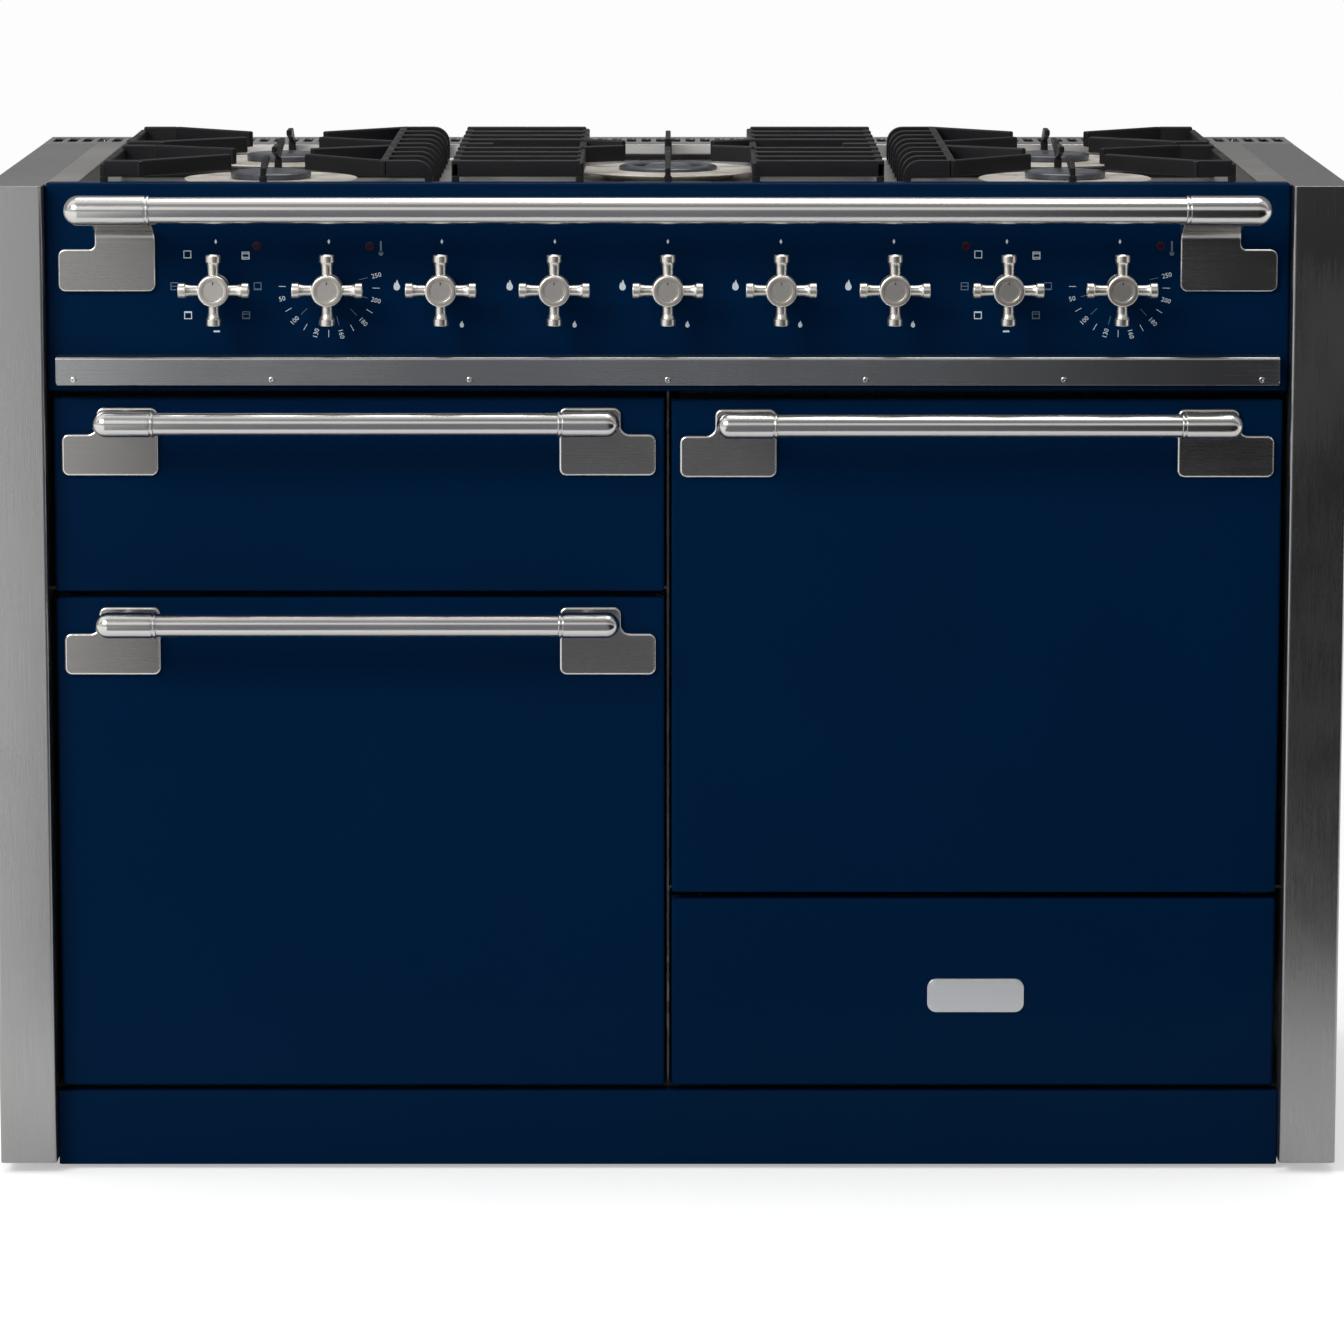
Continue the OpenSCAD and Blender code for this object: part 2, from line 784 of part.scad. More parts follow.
// A folded box of sheet across the back: a slotted top over the side panels, two walls
// and a strip of floor
module rear_vent() {
    SLOT_BACK = 18;
    half = inner_x - seam;
    front = front_y + tray_back + seam;
    low = panel_top - vent_h;
    slots = floor(width / slot_pitch);
    color(STEEL) {
        translate([0, 0, panel_top - skin]) linear_extrude(skin) difference() {
            translate([-width / 2, front]) square([width, back_y - front]);
            for (i = [0:slots - 1])
                translate([(i - (slots - 1) / 2) * slot_pitch, back_y - SLOT_BACK]) vent_slot();
        }
        for (y = [front, back_y - skin]) block([-half, y, low], [half, y + skin, panel_top - skin]);
        block([-half, back_panel_y + plate_t + seam, low], [half, back_y - skin, low + skin]);
    }
}

// A grate bar between two points of the plan, from its underside to the top
module grate_bar(from, to, low = grate_top - bar_h, high = grate_top) {
    run = to - from;
    translate([from.x, from.y, low]) rotate([0, 0, atan2(run.y, run.x)])
        translate([0, -bar_w / 2, 0]) cube([norm(run), bar_w, high - low]);
}

// A thin blade along Y that is pointed at the burner's side
module pointed_finger(x, root_y, tip_y) {
    blade = bar_w - 2;
    low = grate_top - bar_h;
    across(x - blade / 2, blade)
        polygon([[root_y, low], [tip_y, grate_top - bar_h / 3], [tip_y, grate_top],
            [(root_y * 2 + tip_y) / 3, grate_top], [root_y, low + bar_h / 2]]);
}

GRATE_FOOT = 0.3;
grate_y0 = front_y + grate_front + bar_w / 2;
grate_y1 = front_y + grate_front + grate_d - bar_w / 2;
low_bar_z = well_z + GRATE_FOOT;
LOW_BAR_H = 6;

// A low tie bar that rests on the tray and carries the feet
module tie_bar(from, to) {
    grate_bar(from, to, low_bar_z, low_bar_z + LOW_BAR_H);
}

module grate_foot(at) {
    translate([at.x - bar_w / 2, at.y - bar_w / 2, low_bar_z])
        cube([bar_w, bar_w, grate_top - bar_h - low_bar_z + 1]);
}

// A bar from front to back whose top lies a step below the cross bars
module long_bar(x, step) {
    half = bar_w / 2;
    grate_bar([x, grate_y0 - half], [x, grate_y1 + half], grate_top - bar_h, grate_top - step);
}

module grate_centre() {
    outer = mid_grate_half - bar_w / 2;
    inner = mid_open_half - bar_w / 2;
    wok = front_y + wok_y;
    pitch = (grate_y1 - grate_y0) / (mid_bars - 1);
    // The middle cross bar stops short of the wok's opening
    SHORT_FROM = 163;
    WOK_SPREAD = 48;
    WOK_ANGLE = 35;
    color(IRON) {
        both_sides() {
            for (i = [0:mid_bars - 1])
                grate_bar([2 * i == mid_bars - 1 ? SHORT_FROM : inner, grate_y0 + i * pitch],
                    [mid_grate_half, grate_y0 + i * pitch]);
            for (x = [inner, outer]) {
                long_bar(x, 2);
                for (y = [grate_y0, grate_y1]) grate_foot([x, y]);
            }
            for (side = [-1, 1])
                grate_bar([inner, wok + side * WOK_SPREAD],
                    [finger_clear * cos(WOK_ANGLE), wok + side * finger_clear * sin(WOK_ANGLE)]);
        }
        for (y = [grate_y0, grate_y1]) {
            tie_bar([-outer, y], [outer, y]);
            side = sign(y - wok);
            grate_foot([0, y]);
            pointed_finger(0, y + side * bar_w / 2, wok + side * finger_clear);
        }
    }
}

// A bar end that is rounded and curls down to the tray, at the inner edge of a side grate
module comb_bar(y, tip_x, root_x) {
    across_y = y - bar_w / 2;
    r = bar_h;
    translate([0, across_y + bar_w, 0]) rotate([90, 0, 0]) linear_extrude(bar_w) {
        translate([tip_x + r, grate_top - bar_h]) square([root_x - tip_x - r, bar_h]);
        translate([tip_x + r, grate_top - r]) intersection() {
            circle(r);
            translate([-r, 0]) square(r);
        }
        translate([tip_x, low_bar_z]) square([bar_w, grate_top - r - low_bar_z]);
        translate([tip_x, grate_top - r - 1]) square([r, 1]);
    }
}

module side_grate() {
    outer = side_grate_out - bar_w / 2;
    root = side_grate_in + comb_l;
    comb_pitch = (grate_y1 - grate_y0) / (comb_bars - 1);
    middle = (grate_y0 + grate_y1) / 2;
    STRAIGHT = 32;
    FINGER_SPREAD = 26;
    tip = finger_clear * cos(45);
    for (i = [0:comb_bars - 1]) comb_bar(grate_y0 + i * comb_pitch, side_grate_in, root);
    long_bar(root, 0);
    long_bar(outer, 3);
    for (y = [grate_y0, middle, grate_y1]) {
        tie_bar([side_grate_in + bar_w, y], [outer, y]);
        grate_foot([outer, y]);
        grate_foot([burner_x, y]);
    }
    // For each burner and side: where the bent finger and the pointed one start
    for (f = [
        [burner_front, -1, grate_y0, grate_y0],
        [burner_front, 1, middle - FINGER_SPREAD, middle],
        [burner_rear, -1, middle + FINGER_SPREAD, middle],
        [burner_rear, 1, grate_y1, grate_y1]
    ]) {
        centre = [burner_x, front_y + f[0]];
        side = f[1];
        bend = [outer - STRAIGHT, f[2]];
        grate_bar([outer, f[2]], bend);
        translate([bend.x, bend.y, grate_top - bar_h]) cylinder(d = bar_w + 1, h = bar_h - 1);
        grate_bar(bend, centre + [tip, side * tip]);
        grate_bar([root, f[2]], centre + [-tip, side * tip]);
        pointed_finger(burner_x, f[3], centre.y + side * finger_clear);
    }
}

module grate_left() {
    color(IRON) mirror([1, 0, 0]) side_grate();
}

module grate_right() {
    color(IRON) side_grate();
}

// Burner heights, from the tray's well up
DISH_H = 5;
CROWN_H = 6;
CAP_H = 4;
CUP_H = 29;
CUP_D = 66;
CROWN_WALL = 22;
CROWN_IN = 5;
INNER_CAP_D = 44;
BASE_T = 3;

// The dish on the tray with the mixing cup below it
module burner_base(d, cup_d, bore, post_d = 0) {
    LIP = 9;
    difference() {
        union() {
            cylinder(d = d, h = BASE_T);
            cylinder(d1 = d - 2 * LIP, d2 = d - 4 * LIP, h = DISH_H);
            translate([0, 0, -CUP_H]) cylinder(d = cup_d, h = CUP_H);
        }
        translate([0, 0, -CUP_H + BASE_T]) difference() {
            cylinder(d = bore, h = CUP_H + DISH_H);
            if (post_d > 0) translate([0, 0, -1]) cylinder(d = post_d, h = CUP_H + DISH_H + 2);
        }
    }
}

module burner_bases() {
    SEAT = 4;
    color(ALUMINIUM) {
        for (b = BURNERS)
            translate([b.x, b.y, well_z]) burner_base(dish_d, CUP_D, cap_d - CROWN_WALL - SEAT);
        translate([0, front_y + wok_y, well_z])
            burner_base(wok_d, wok_cap_d + 2 * SEAT, wok_cap_d - CROWN_WALL - SEAT, INNER_CAP_D + SEAT);
    }
}

// The ring below a cap, with flame slots cut in its rim
module flame_ring(cap, slots) {
    SLOT = 1.6;
    d = cap - CROWN_IN;
    bore = cap - CROWN_WALL;
    difference() {
        cylinder(d = d, h = CROWN_H);
        translate([0, 0, -1]) cylinder(d = bore, h = CROWN_H + 2);
        for (i = [0:slots - 1]) rotate([0, 0, i * 360 / slots])
            translate([bore / 2 + 2, -SLOT / 2, CROWN_H / 2]) cube([d, SLOT, CROWN_H]);
    }
}

crown_z = well_z + DISH_H;

module burner_crowns() {
    SIDE_SLOTS = 24;
    WOK_SLOTS = 36;
    color(BRASS) {
        for (b = BURNERS) translate([b.x, b.y, crown_z]) flame_ring(cap_d, SIDE_SLOTS);
        translate([0, front_y + wok_y, crown_z]) {
            flame_ring(wok_cap_d, WOK_SLOTS);
            flame_ring(INNER_CAP_D, SIDE_SLOTS);
        }
    }
}

// A flat cap with a chamfered edge
module burner_cap(d) {
    EDGE = 2;
    cylinder(d = d, h = CAP_H - EDGE);
    translate([0, 0, CAP_H - EDGE]) cylinder(d1 = d, d2 = d - 2 * EDGE, h = EDGE);
}

module burner_caps() {
    color(IRON) {
        for (b = BURNERS) translate([b.x, b.y, crown_z + CROWN_H]) burner_cap(cap_d);
        translate([0, front_y + wok_y, crown_z + CROWN_H]) {
            burner_cap(INNER_CAP_D);
            difference() {
                burner_cap(wok_cap_d);
                translate([0, 0, -1]) cylinder(d = wok_cap_d - CROWN_WALL - CROWN_IN, h = CAP_H + 2);
            }
        }
    }
}

/* Gas and controls behind the fascia */

TAP_D = 26;
TAP_L = 44;
TAP_NOSE = 8;
TAP_NOSE_D = 18;
TAP_STEM_D = 14;
SPINDLE_IN = 30;
ELBOW = 6;
tap_y = face_y + skin + seam;
manifold_y = tap_y + TAP_L - 10;
manifold_z = knob_z - 26;
manifold_end = -inner_x + 40;
spindle_back = tap_y + SPINDLE_IN;

// One tap: a body on the manifold with a nose against the fascia
module gas_tap(x) {
    bar_y([x, tap_y + TAP_NOSE, knob_z], TAP_L - TAP_NOSE, TAP_D);
    bar_y([x, tap_y, knob_z], TAP_NOSE + 1, TAP_NOSE_D);
    bar_z([x, manifold_y, manifold_z], knob_z - manifold_z, TAP_STEM_D);
}

// The taps with their blind bores, the manifold, and the pipe to the threaded inlet
module gas_manifold() {
    INLET_BORE = 15;
    INLET_BORE_L = 60;
    panel_rear = back_panel_y + plate_t;
    inlet_end = back_y - 2;
    color(BRASS) difference() {
        union() {
            bar_x([manifold_end, manifold_y, manifold_z], inlet_x - manifold_end, manifold_d);
            for (i = GAS_KNOBS) gas_tap(knob_x(i));
            for (z = [manifold_z, inlet_z])
                translate([inlet_x, manifold_y, z]) cube(manifold_d + ELBOW, center = true);
            bar_z([inlet_x, manifold_y, inlet_z], manifold_z - inlet_z, manifold_d);
            bar_y([inlet_x, manifold_y, inlet_z], panel_rear + 1 - manifold_y, manifold_d);
            bar_y([inlet_x, panel_rear, inlet_z], inlet_end - panel_rear, inlet_d);
        }
        for (i = GAS_KNOBS)
            bar_y([knob_x(i), tap_y - 1, knob_z], SPINDLE_IN + push_travel + 2, spindle_d + 2 * run_gap);
        bar_y([inlet_x, inlet_end - INLET_BORE_L, inlet_z], INLET_BORE_L + 1, INLET_BORE);
    }
}

SWITCH = [46, 22, 46];
switch_spindle_back = tap_y + SWITCH.y - 5;

module control_switches() {
    color(ENAMEL_BLACK) for (i = SWITCH_KNOBS) difference() {
        block([knob_x(i) - SWITCH.x / 2, tap_y, knob_z - SWITCH.z / 2],
            [knob_x(i) + SWITCH.x / 2, tap_y + SWITCH.y, knob_z + SWITCH.z / 2]);
        bar_y([knob_x(i), tap_y - 1, knob_z], SWITCH.y - 2, spindle_d + 2 * run_gap);
    }
}

// The tap's sliding spindle, which a gas knob turns on
knob_tip_y = face_y - knob_out;
knob_back_y = face_y - knob_gap;
spindle_front = knob_back_y - knob_bore + 1;

module tap_spindle(i) {
    color(BRIGHT) bar_y([knob_x(i), spindle_front, knob_z], spindle_back - spindle_front, spindle_d);
}

module tap_spindle_1() { tap_spindle(FIRST_GAS); }
module tap_spindle_2() { tap_spindle(FIRST_GAS + 1); }
module tap_spindle_3() { tap_spindle(FIRST_GAS + 2); }
module tap_spindle_4() { tap_spindle(FIRST_GAS + 3); }
module tap_spindle_5() { tap_spindle(FIRST_GAS + 4); }

// One of a knob's four arms, along +Z from the axis
module knob_arm() {
    flare = arm_span / 2 - arm_collar;
    cylinder(d1 = arm_root_d, d2 = arm_tip_d - 1, h = flare);
    translate([0, 0, flare]) cylinder(d = arm_tip_d, h = arm_collar);
}

// A cross-head knob; gas knobs have a blind bore, the others a spindle of their own
module knob(i, gas) {
    RING_D = 19;
    RING_DEPTH = 0.6;
    BEVEL = 2;
    hub_back = knob_tip_y + hub_l;
    arm_y = knob_tip_y + hub_l / 2;
    color(BRIGHT) translate([knob_x(i), 0, knob_z]) difference() {
        union() {
            translate([0, knob_tip_y, 0]) rotate([-90, 0, 0]) {
                cylinder(d1 = hub_d - 2 * BEVEL, d2 = hub_d, h = BEVEL);
                translate([0, 0, BEVEL]) cylinder(d = hub_d, h = hub_l - 2 * BEVEL);
                translate([0, 0, hub_l - BEVEL]) cylinder(d1 = hub_d, d2 = hub_d - 2 * BEVEL, h = BEVEL);
            }
            bar_y([0, arm_y, 0], knob_back_y - arm_y, knob_neck_d);
            bar_y([0, knob_back_y - skirt_t, 0], skirt_t, skirt_d);
            for (a = [0:90:270]) translate([0, arm_y, 0]) rotate([0, a, 0]) knob_arm();
            if (!gas) bar_y([0, arm_y, 0], switch_spindle_back - arm_y, spindle_d);
        }
        translate([0, knob_tip_y - 1, 0]) rotate([-90, 0, 0]) difference() {
            cylinder(d = RING_D + 1, h = RING_DEPTH + 1);
            cylinder(d = RING_D - 1, h = RING_DEPTH + 1);
        }
        if (gas) bar_y([0, knob_back_y - knob_bore, 0], knob_bore + 1, spindle_d + 2 * run_gap);
    }
}

module knob_left_function() { knob(1, false); }
module knob_left_temperature() { knob(2, false); }
module knob_gas_1() { knob(FIRST_GAS, true); }
module knob_gas_2() { knob(FIRST_GAS + 1, true); }
module knob_gas_3() { knob(FIRST_GAS + 2, true); }
module knob_gas_4() { knob(FIRST_GAS + 3, true); }
module knob_gas_5() { knob(FIRST_GAS + 4, true); }
module knob_right_function() { knob(8, false); }
module knob_right_temperature() { knob(9, false); }

/* Ovens */

LEDGE = 8;
LEDGE_T = 4;
LEDGE_FRONT = 12;
FLANGE_IN = 8;
RACK_LEVELS = 4;
left_floor_z = fronts_z + cavity_up;
right_floor_z = right_door_z + cavity_up;
cavity_back_y = chassis_y + cavity_d;
ledge_pitch = cavity_h / (RACK_LEVELS + 1);
HINGE_EYE = 8;
HINGE_EYE_D = 14;

// A fixed hinge arm: a flat plate from the oven's flange to an eye on the hinge axis
module hinge_arm(x, door_z) {
    ARM_HALF = 6;
    axis = [x - hinge_arm_t / 2, face_y + hinge_in, door_z + hinge_up];
    difference() {
        union() {
            bar_x(axis, hinge_arm_t, HINGE_EYE_D);
            block(axis - [0, 0, ARM_HALF], [axis.x + hinge_arm_t, frame_y + wall_t, axis.z + ARM_HALF]);
        }
        bar_x(axis - [1, 0, 0], hinge_arm_t + 2, hinge_pin_d + 2 * run_gap);
    }
}

// A steel cavity with a flange, rack ledges, a fan cover and the two hinge arms
module oven_cavity(x, door_z, flange_low, flange_high) {
    SHAFT_HOLE = 12;
    floor_z = door_z + cavity_up;
    inside = [cavity_w, cavity_h];
    mouth = [x - cavity_w / 2, floor_z];
    difference() {
        union() {
            upright(frame_y, wall_t) difference() {
                translate([x - column_w / 2 + FLANGE_IN, flange_low])
                    square([column_w - 2 * FLANGE_IN, flange_high - flange_low]);
                round_rect(mouth, inside, cavity_r);
            }
            upright(frame_y + wall_t / 2, cavity_d + wall_t / 2) difference() {
                cavity_outline(mouth);
                round_rect(mouth, inside, cavity_r);
            }
            upright(cavity_back_y, wall_t) cavity_outline(mouth);
            for (side = [-1, 1]) hinge_arm(x + side * (column_w / 2 - hinge_inset), door_z);
            for (k = [1:RACK_LEVELS]) rack_ledges(x, floor_z + k * ledge_pitch);
        }
        bar_y([x, cavity_back_y - 1, floor_z + cavity_h / 2], wall_t + 2, SHAFT_HOLE);
    }
    fan_cover(x, floor_z);
}

// The outside of a cavity whose inside starts at the mouth's low corner
module cavity_outline(mouth) {
    wall = [wall_t, wall_t];
    round_rect(mouth - wall, [cavity_w, cavity_h] + 2 * wall, cavity_r + wall_t);
}

// A ledge on each side wall, with its underside at z
module rack_ledges(x, z) {
    low = [cavity_w / 2 - LEDGE, chassis_y + LEDGE_FRONT, z];
    high = [cavity_w / 2, cavity_back_y - fan_space - LEDGE, z + LEDGE_T];
    translate([x, 0, 0]) both_sides() block(low, high);
}

// The pressed cover in front of the fan, with a ring of slots
module fan_cover(x, floor_z) {
    COVER_T = 1.5;
    RIM = 24;
    SLOTS = 12;
    SLOT_W = 8;
    y = cavity_back_y - fan_space;
    cover = [cavity_w - 2 * RIM, cavity_h - 2 * RIM];
    low = [x - cover.x / 2, floor_z + RIM];
    upright(y, COVER_T) difference() {
        round_rect(low, cover, cavity_r);
        for (i = [0:SLOTS - 1]) translate([x, floor_z + cavity_h / 2]) rotate(i * 360 / SLOTS)
            translate([fan_d / 6, -SLOT_W / 2]) square([fan_d / 5, SLOT_W]);
    }
    upright(y + COVER_T, fan_space - COVER_T) difference() {
        round_rect(low, cover, cavity_r);
        round_rect(low + [COVER_T, COVER_T], cover - 2 * [COVER_T, COVER_T], cavity_r - COVER_T);
    }
}

module left_oven_cavity() {
    color(ENAMEL_BLACK) oven_cavity(-column_x, fronts_z, plinth_top + seam, left_shelf_z - seam);
}

module right_oven_cavity() {
    color(ENAMEL_BLACK) oven_cavity(column_x, right_door_z, right_shelf_z + seam, deck_z - plate_t / 2);
}

// The fan: a hub with radial blades on a back disc, on a shaft that runs in the motor
FAN_H = 18;
FAN_GAP = 7;
SHAFT_L = 30;

module fan(x, floor_z) {
    DISC_T = 1.5;
    HUB_D = 26;
    rear = cavity_back_y - FAN_GAP;
    color(ALUMINIUM) translate([x, rear - FAN_H, floor_z + cavity_h / 2]) {
        bar_y([0, FAN_H - DISC_T, 0], DISC_T, fan_d);
        bar_y([0, FAN_H / 4, 0], FAN_H * 3 / 4, HUB_D);
        bar_y([0, FAN_H - 1, 0], SHAFT_L + 1, spindle_d);
        for (i = [0:fan_blades - 1]) rotate([0, i * 360 / fan_blades, 0])
            block([fan_d / 4, 0, -DISC_T / 2], [fan_d / 2, FAN_H, DISC_T / 2]);
    }
}

module fan_left() { fan(-column_x, left_floor_z); }
module fan_right() { fan(column_x, right_floor_z); }

module fan_motors() {
    MOTOR_D = 84;
    MOTOR_L = 46;
    PLATE_D = 104;
    PLATE_T = 3;
    y = cavity_back_y + wall_t;
    color(GALVANISED) for (at = [[-column_x, left_floor_z], [column_x, right_floor_z]])
        translate([at[0], 0, at[1] + cavity_h / 2]) difference() {
            union() {
                bar_y([0, y, 0], PLATE_T, PLATE_D);
                bar_y([0, y, 0], MOTOR_L, MOTOR_D);
            }
            bar_y([0, y - 1, 0], SHAFT_L, spindle_d + 2 * run_gap);
        }
}

// Ring elements behind the fan covers and a looped element under the grill's roof
module heating_elements() {
    GRILL_LOOPS = 4;
    ROOF_GAP = 16;
    TAIL_TURN = 8;
    ring_y = cavity_back_y - fan_space / 2;
    color(GALVANISED) {
        for (at = [[-column_x, left_floor_z], [column_x, right_floor_z]])
            translate([at[0], ring_y, at[1] + cavity_h / 2]) {
                rotate([90, 0, 0]) rotate_extrude() translate([ring_d / 2, 0]) circle(d = element_d);
                for (side = [-1, 1]) rotate([0, side * TAIL_TURN, 0])
                    bar_y([0, 0, ring_d / 2], cavity_back_y - ring_y, element_d - 1);
            }
        translate([-column_x, 0, grill_roof_z - ROOF_GAP]) grill_element(GRILL_LOOPS);
    }
}

grill_floor_z = grill_z + (grill_h - grill_cavity_h) / 2;
grill_roof_z = grill_floor_z + grill_cavity_h;

// A flat element that runs back and forth, joined by half turns
module grill_element(loops) {
    ELEMENT_W = 320;
    RUN_FRONT = 60;
    RUN_BACK = 40;
    SWELL = 0.8;
    LAP = 3;
    front = chassis_y + RUN_FRONT;
    back = chassis_y + grill_d - RUN_BACK;
    last = 2 * loops - 1;
    pitch = ELEMENT_W / last;
    for (i = [0:last])
        bar_y([(i - last / 2) * pitch, front, 0], back - front + (i % last == 0 ? RUN_BACK : 0), element_d);
    for (i = [0:last - 1])
        translate([(i - last / 2 + 1 / 2) * pitch, i % 2 == 0 ? front + LAP : back - LAP, 0])
            rotate([0, 0, i % 2 == 0 ? 180 : 0])
                rotate_extrude(angle = 180) translate([pitch / 2, 0]) circle(d = element_d + SWELL);
}

// Wire shelves on their ledges: two stout wires across, two along, and thin bars on top
module wire_rack(x, z) {
    SIDE_ROOM = 5;
    SIDE_WIRE_D = 5;
    LAP = 2;
    half = cavity_w / 2 - SIDE_ROOM;
    front = chassis_y + LEDGE_FRONT + SIDE_ROOM;
    back = front + rack_d - rack_wire_d;
    wires = floor(rack_d / rack_pitch) - 1;
    pitch = (back - front) / (wires + 1);
    for (y = [front, back]) bar_x([x - half - LAP, y, z], 2 * (half + LAP), rack_wire_d);
    for (side = [-1, 1]) bar_y([x + side * half, front, z], back - front, SIDE_WIRE_D);
    for (i = [1:wires])
        bar_x([x - half - LAP / 2, front + i * pitch, z + rack_bar_d / 2], 2 * half + LAP, rack_bar_d);
}

function rack_z(floor_z, level) = floor_z + level * ledge_pitch + LEDGE_T + rack_wire_d / 2 + seam;

module oven_racks() {
    color(BRIGHT) {
        wire_rack(-column_x, rack_z(left_floor_z, 2));
        wire_rack(column_x, rack_z(right_floor_z, 1));
        wire_rack(column_x, rack_z(right_floor_z, 3));
    }
}

// A flat ring of sealing rope round each oven's mouth
module door_seals() {
    SEAL_W = 9;
    SEAL_OUT = 4;
    color(RUBBER) for (at = [[-column_x, left_floor_z], [column_x, right_floor_z]])
        upright(frame_y - seal_t, seal_t) difference() {
            low = [at[0] - cavity_w / 2 - SEAL_OUT - SEAL_W, at[1] - SEAL_OUT - SEAL_W];
            size = [cavity_w, cavity_h] + 2 * [SEAL_OUT + SEAL_W, SEAL_OUT + SEAL_W];
            round_rect(low, size, cavity_r + SEAL_OUT);
            round_rect(low + [SEAL_W, SEAL_W], size - 2 * [SEAL_W, SEAL_W], cavity_r);
        }
}

/* Oven doors */

// The space that a fixed hinge arm sweeps through in its door
module arm_slot(x, door_z) {
    SLOT_ROOM = 1.5;
    half = hinge_arm_t / 2 + SLOT_ROOM;
    block([x - half, face_y + hinge_in - HINGE_EYE, door_z - 1],
        [x + half, door_back_y + 1, door_z + hinge_up + HINGE_EYE]);
}

module door_panel(x, z, h) {
    color(NAVY) difference() {
        folded_front(x, z, column_w, h, door_t - liner_t);
        for (side = [-1, 1]) arm_slot(x + side * (column_w / 2 - hinge_inset), z);
    }
}

module door_liner(x, z, h) {
    PLUG = 5;
    PLUG_IN = 6;
    back = door_back_y - liner_t;
    color(ENAMEL_BLACK) difference() {
        union() {
            upright(back, liner_t)
                round_rect([x - column_w / 2 + skin, z + skin], [column_w - 2 * skin, h - 2 * skin], edge_r);
            upright(back + liner_t - 1, PLUG + 1)
                round_rect([x - cavity_w / 2 + PLUG_IN, z + cavity_up + PLUG_IN],
                    [cavity_w - 2 * PLUG_IN, cavity_h - 2 * PLUG_IN], cavity_r);
        }
        for (side = [-1, 1]) arm_slot(x + side * (column_w / 2 - hinge_inset), z);
    }
}

// Two hinge blocks inside the door: cheeks on the liner with a pin through the arm's eye
module door_hinges(x, z) {
    CHEEK = 4;
    SIDE_ROOM = 1.8;
    gap = hinge_arm_t / 2 + SIDE_ROOM;
    color(BRIGHT) for (side = [-1, 1]) {
        at = [x + side * (column_w / 2 - hinge_inset), face_y + hinge_in, z + hinge_up];
        for (cheek = [-1, 1]) {
            low_x = at.x + cheek * (gap + CHEEK / 2) - CHEEK / 2;
            block([low_x, at.y - HINGE_EYE + 1, z + skin + seam],
                [low_x + CHEEK, door_back_y - liner_t, at.z + HINGE_EYE]);
        }
        bar_x([at.x - gap - CHEEK, at.y, at.z], 2 * (gap + CHEEK), hinge_pin_d);
    }
}

module left_door_panel() { door_panel(-column_x, fronts_z, left_door_h); }
module left_door_liner() { door_liner(-column_x, fronts_z, left_door_h); }
module left_door_hinges() { door_hinges(-column_x, fronts_z); }
module left_handle() { door_handle(-column_x, fronts_z + left_door_h); }
module left_handle_brackets() { handle_brackets(-column_x, fronts_z + left_door_h); }

module right_door_panel() { door_panel(column_x, right_door_z, right_door_h); }
module right_door_liner() { door_liner(column_x, right_door_z, right_door_h); }
module right_door_hinges() { door_hinges(column_x, right_door_z); }
module right_handle() { door_handle(column_x, right_door_z + right_door_h); }
module right_handle_brackets() { handle_brackets(column_x, right_door_z + right_door_h); }

/* Grill */

grill_slide_z = grill_floor_z + grill_runner_up;
carriage_y = face_y + drawer_front_t;

module grill_cavity() {
    x = -column_x;
    wall = [wall_t, wall_t];
    low = [x - grill_w / 2, grill_floor_z];
    size = [grill_w, grill_cavity_h];
    flange_low = left_shelf_z + seam;
    color(ENAMEL_BLACK) {
        upright(frame_y, wall_t) difference() {
            translate([x - column_w / 2 + FLANGE_IN, flange_low])
                square([column_w - 2 * FLANGE_IN, deck_z - plate_t / 2 - flange_low]);
            translate(low) square(size);
        }
        upright(frame_y + wall_t / 2, grill_d + wall_t / 2) difference() {
            translate(low - wall) square(size + 2 * wall);
            translate(low) square(size);
        }
        upright(chassis_y + grill_d, wall_t) translate(low - wall) square(size + 2 * wall);
        translate([x, 0, 0]) both_sides()
            channel_flanges(grill_w / 2, grill_slide_z, grill_d - 10, slide_t / 2);
    }
}

// The flat plate that closes a drawer front's back and carries its slides
module carriage_plate(x, z, h) {
    half = column_w / 2 - skin;
    block([x - half, carriage_y, z + skin], [x + half, carriage_y + plate_t, z + h - skin]);
}

module grill_front() {
    color(NAVY) folded_front(-column_x, grill_z, column_w, grill_h, drawer_front_t);
}

module grill_handle() { door_handle(-column_x, grill_z + grill_h); }
module grill_handle_brackets() { handle_brackets(-column_x, grill_z + grill_h); }

// Carriage plate and slides, the enamelled pan that hangs between them, and its trivet
module grill_pan() {
    PAN_FRONT = 14;
    RIM_LAP = 2;
    SLIDE_SHORT = 40;
    x = -column_x;
    rim_z = grill_slide_z + slide_h + seam;
    pan_y = chassis_y + PAN_FRONT;
    slide_x = grill_w / 2 - 1;
    rim_half = slide_x - slide_t + RIM_LAP;
    half = pan_w / 2 + PAN_WALL;
    wall = [PAN_WALL, PAN_WALL, PAN_WALL];
    pan_low = [-half, pan_y, rim_z - pan_h];
    pan_high = [half, pan_y + pan_d, rim_z + PAN_WALL];
    color(ENAMEL_BLACK) {
        carriage_plate(x, grill_z, grill_h);
        translate([x, 0, 0]) both_sides()
            block([slide_x - slide_t, carriage_y + plate_t / 2, grill_slide_z],
                [slide_x, chassis_y + grill_d - SLIDE_SHORT, grill_slide_z + slide_h]);
        translate([x, 0, 0]) difference() {
            union() {
                block(pan_low, pan_high);
                block([-rim_half, pan_y, rim_z], [rim_half, pan_high.y, pan_high.z]);
            }
            block(pan_low + wall, pan_high + [-PAN_WALL, -PAN_WALL, 1]);
        }
    }
    color(BRIGHT) translate([x, 0, 0]) trivet(pan_low, pan_high);
}

PAN_WALL = 1.5;

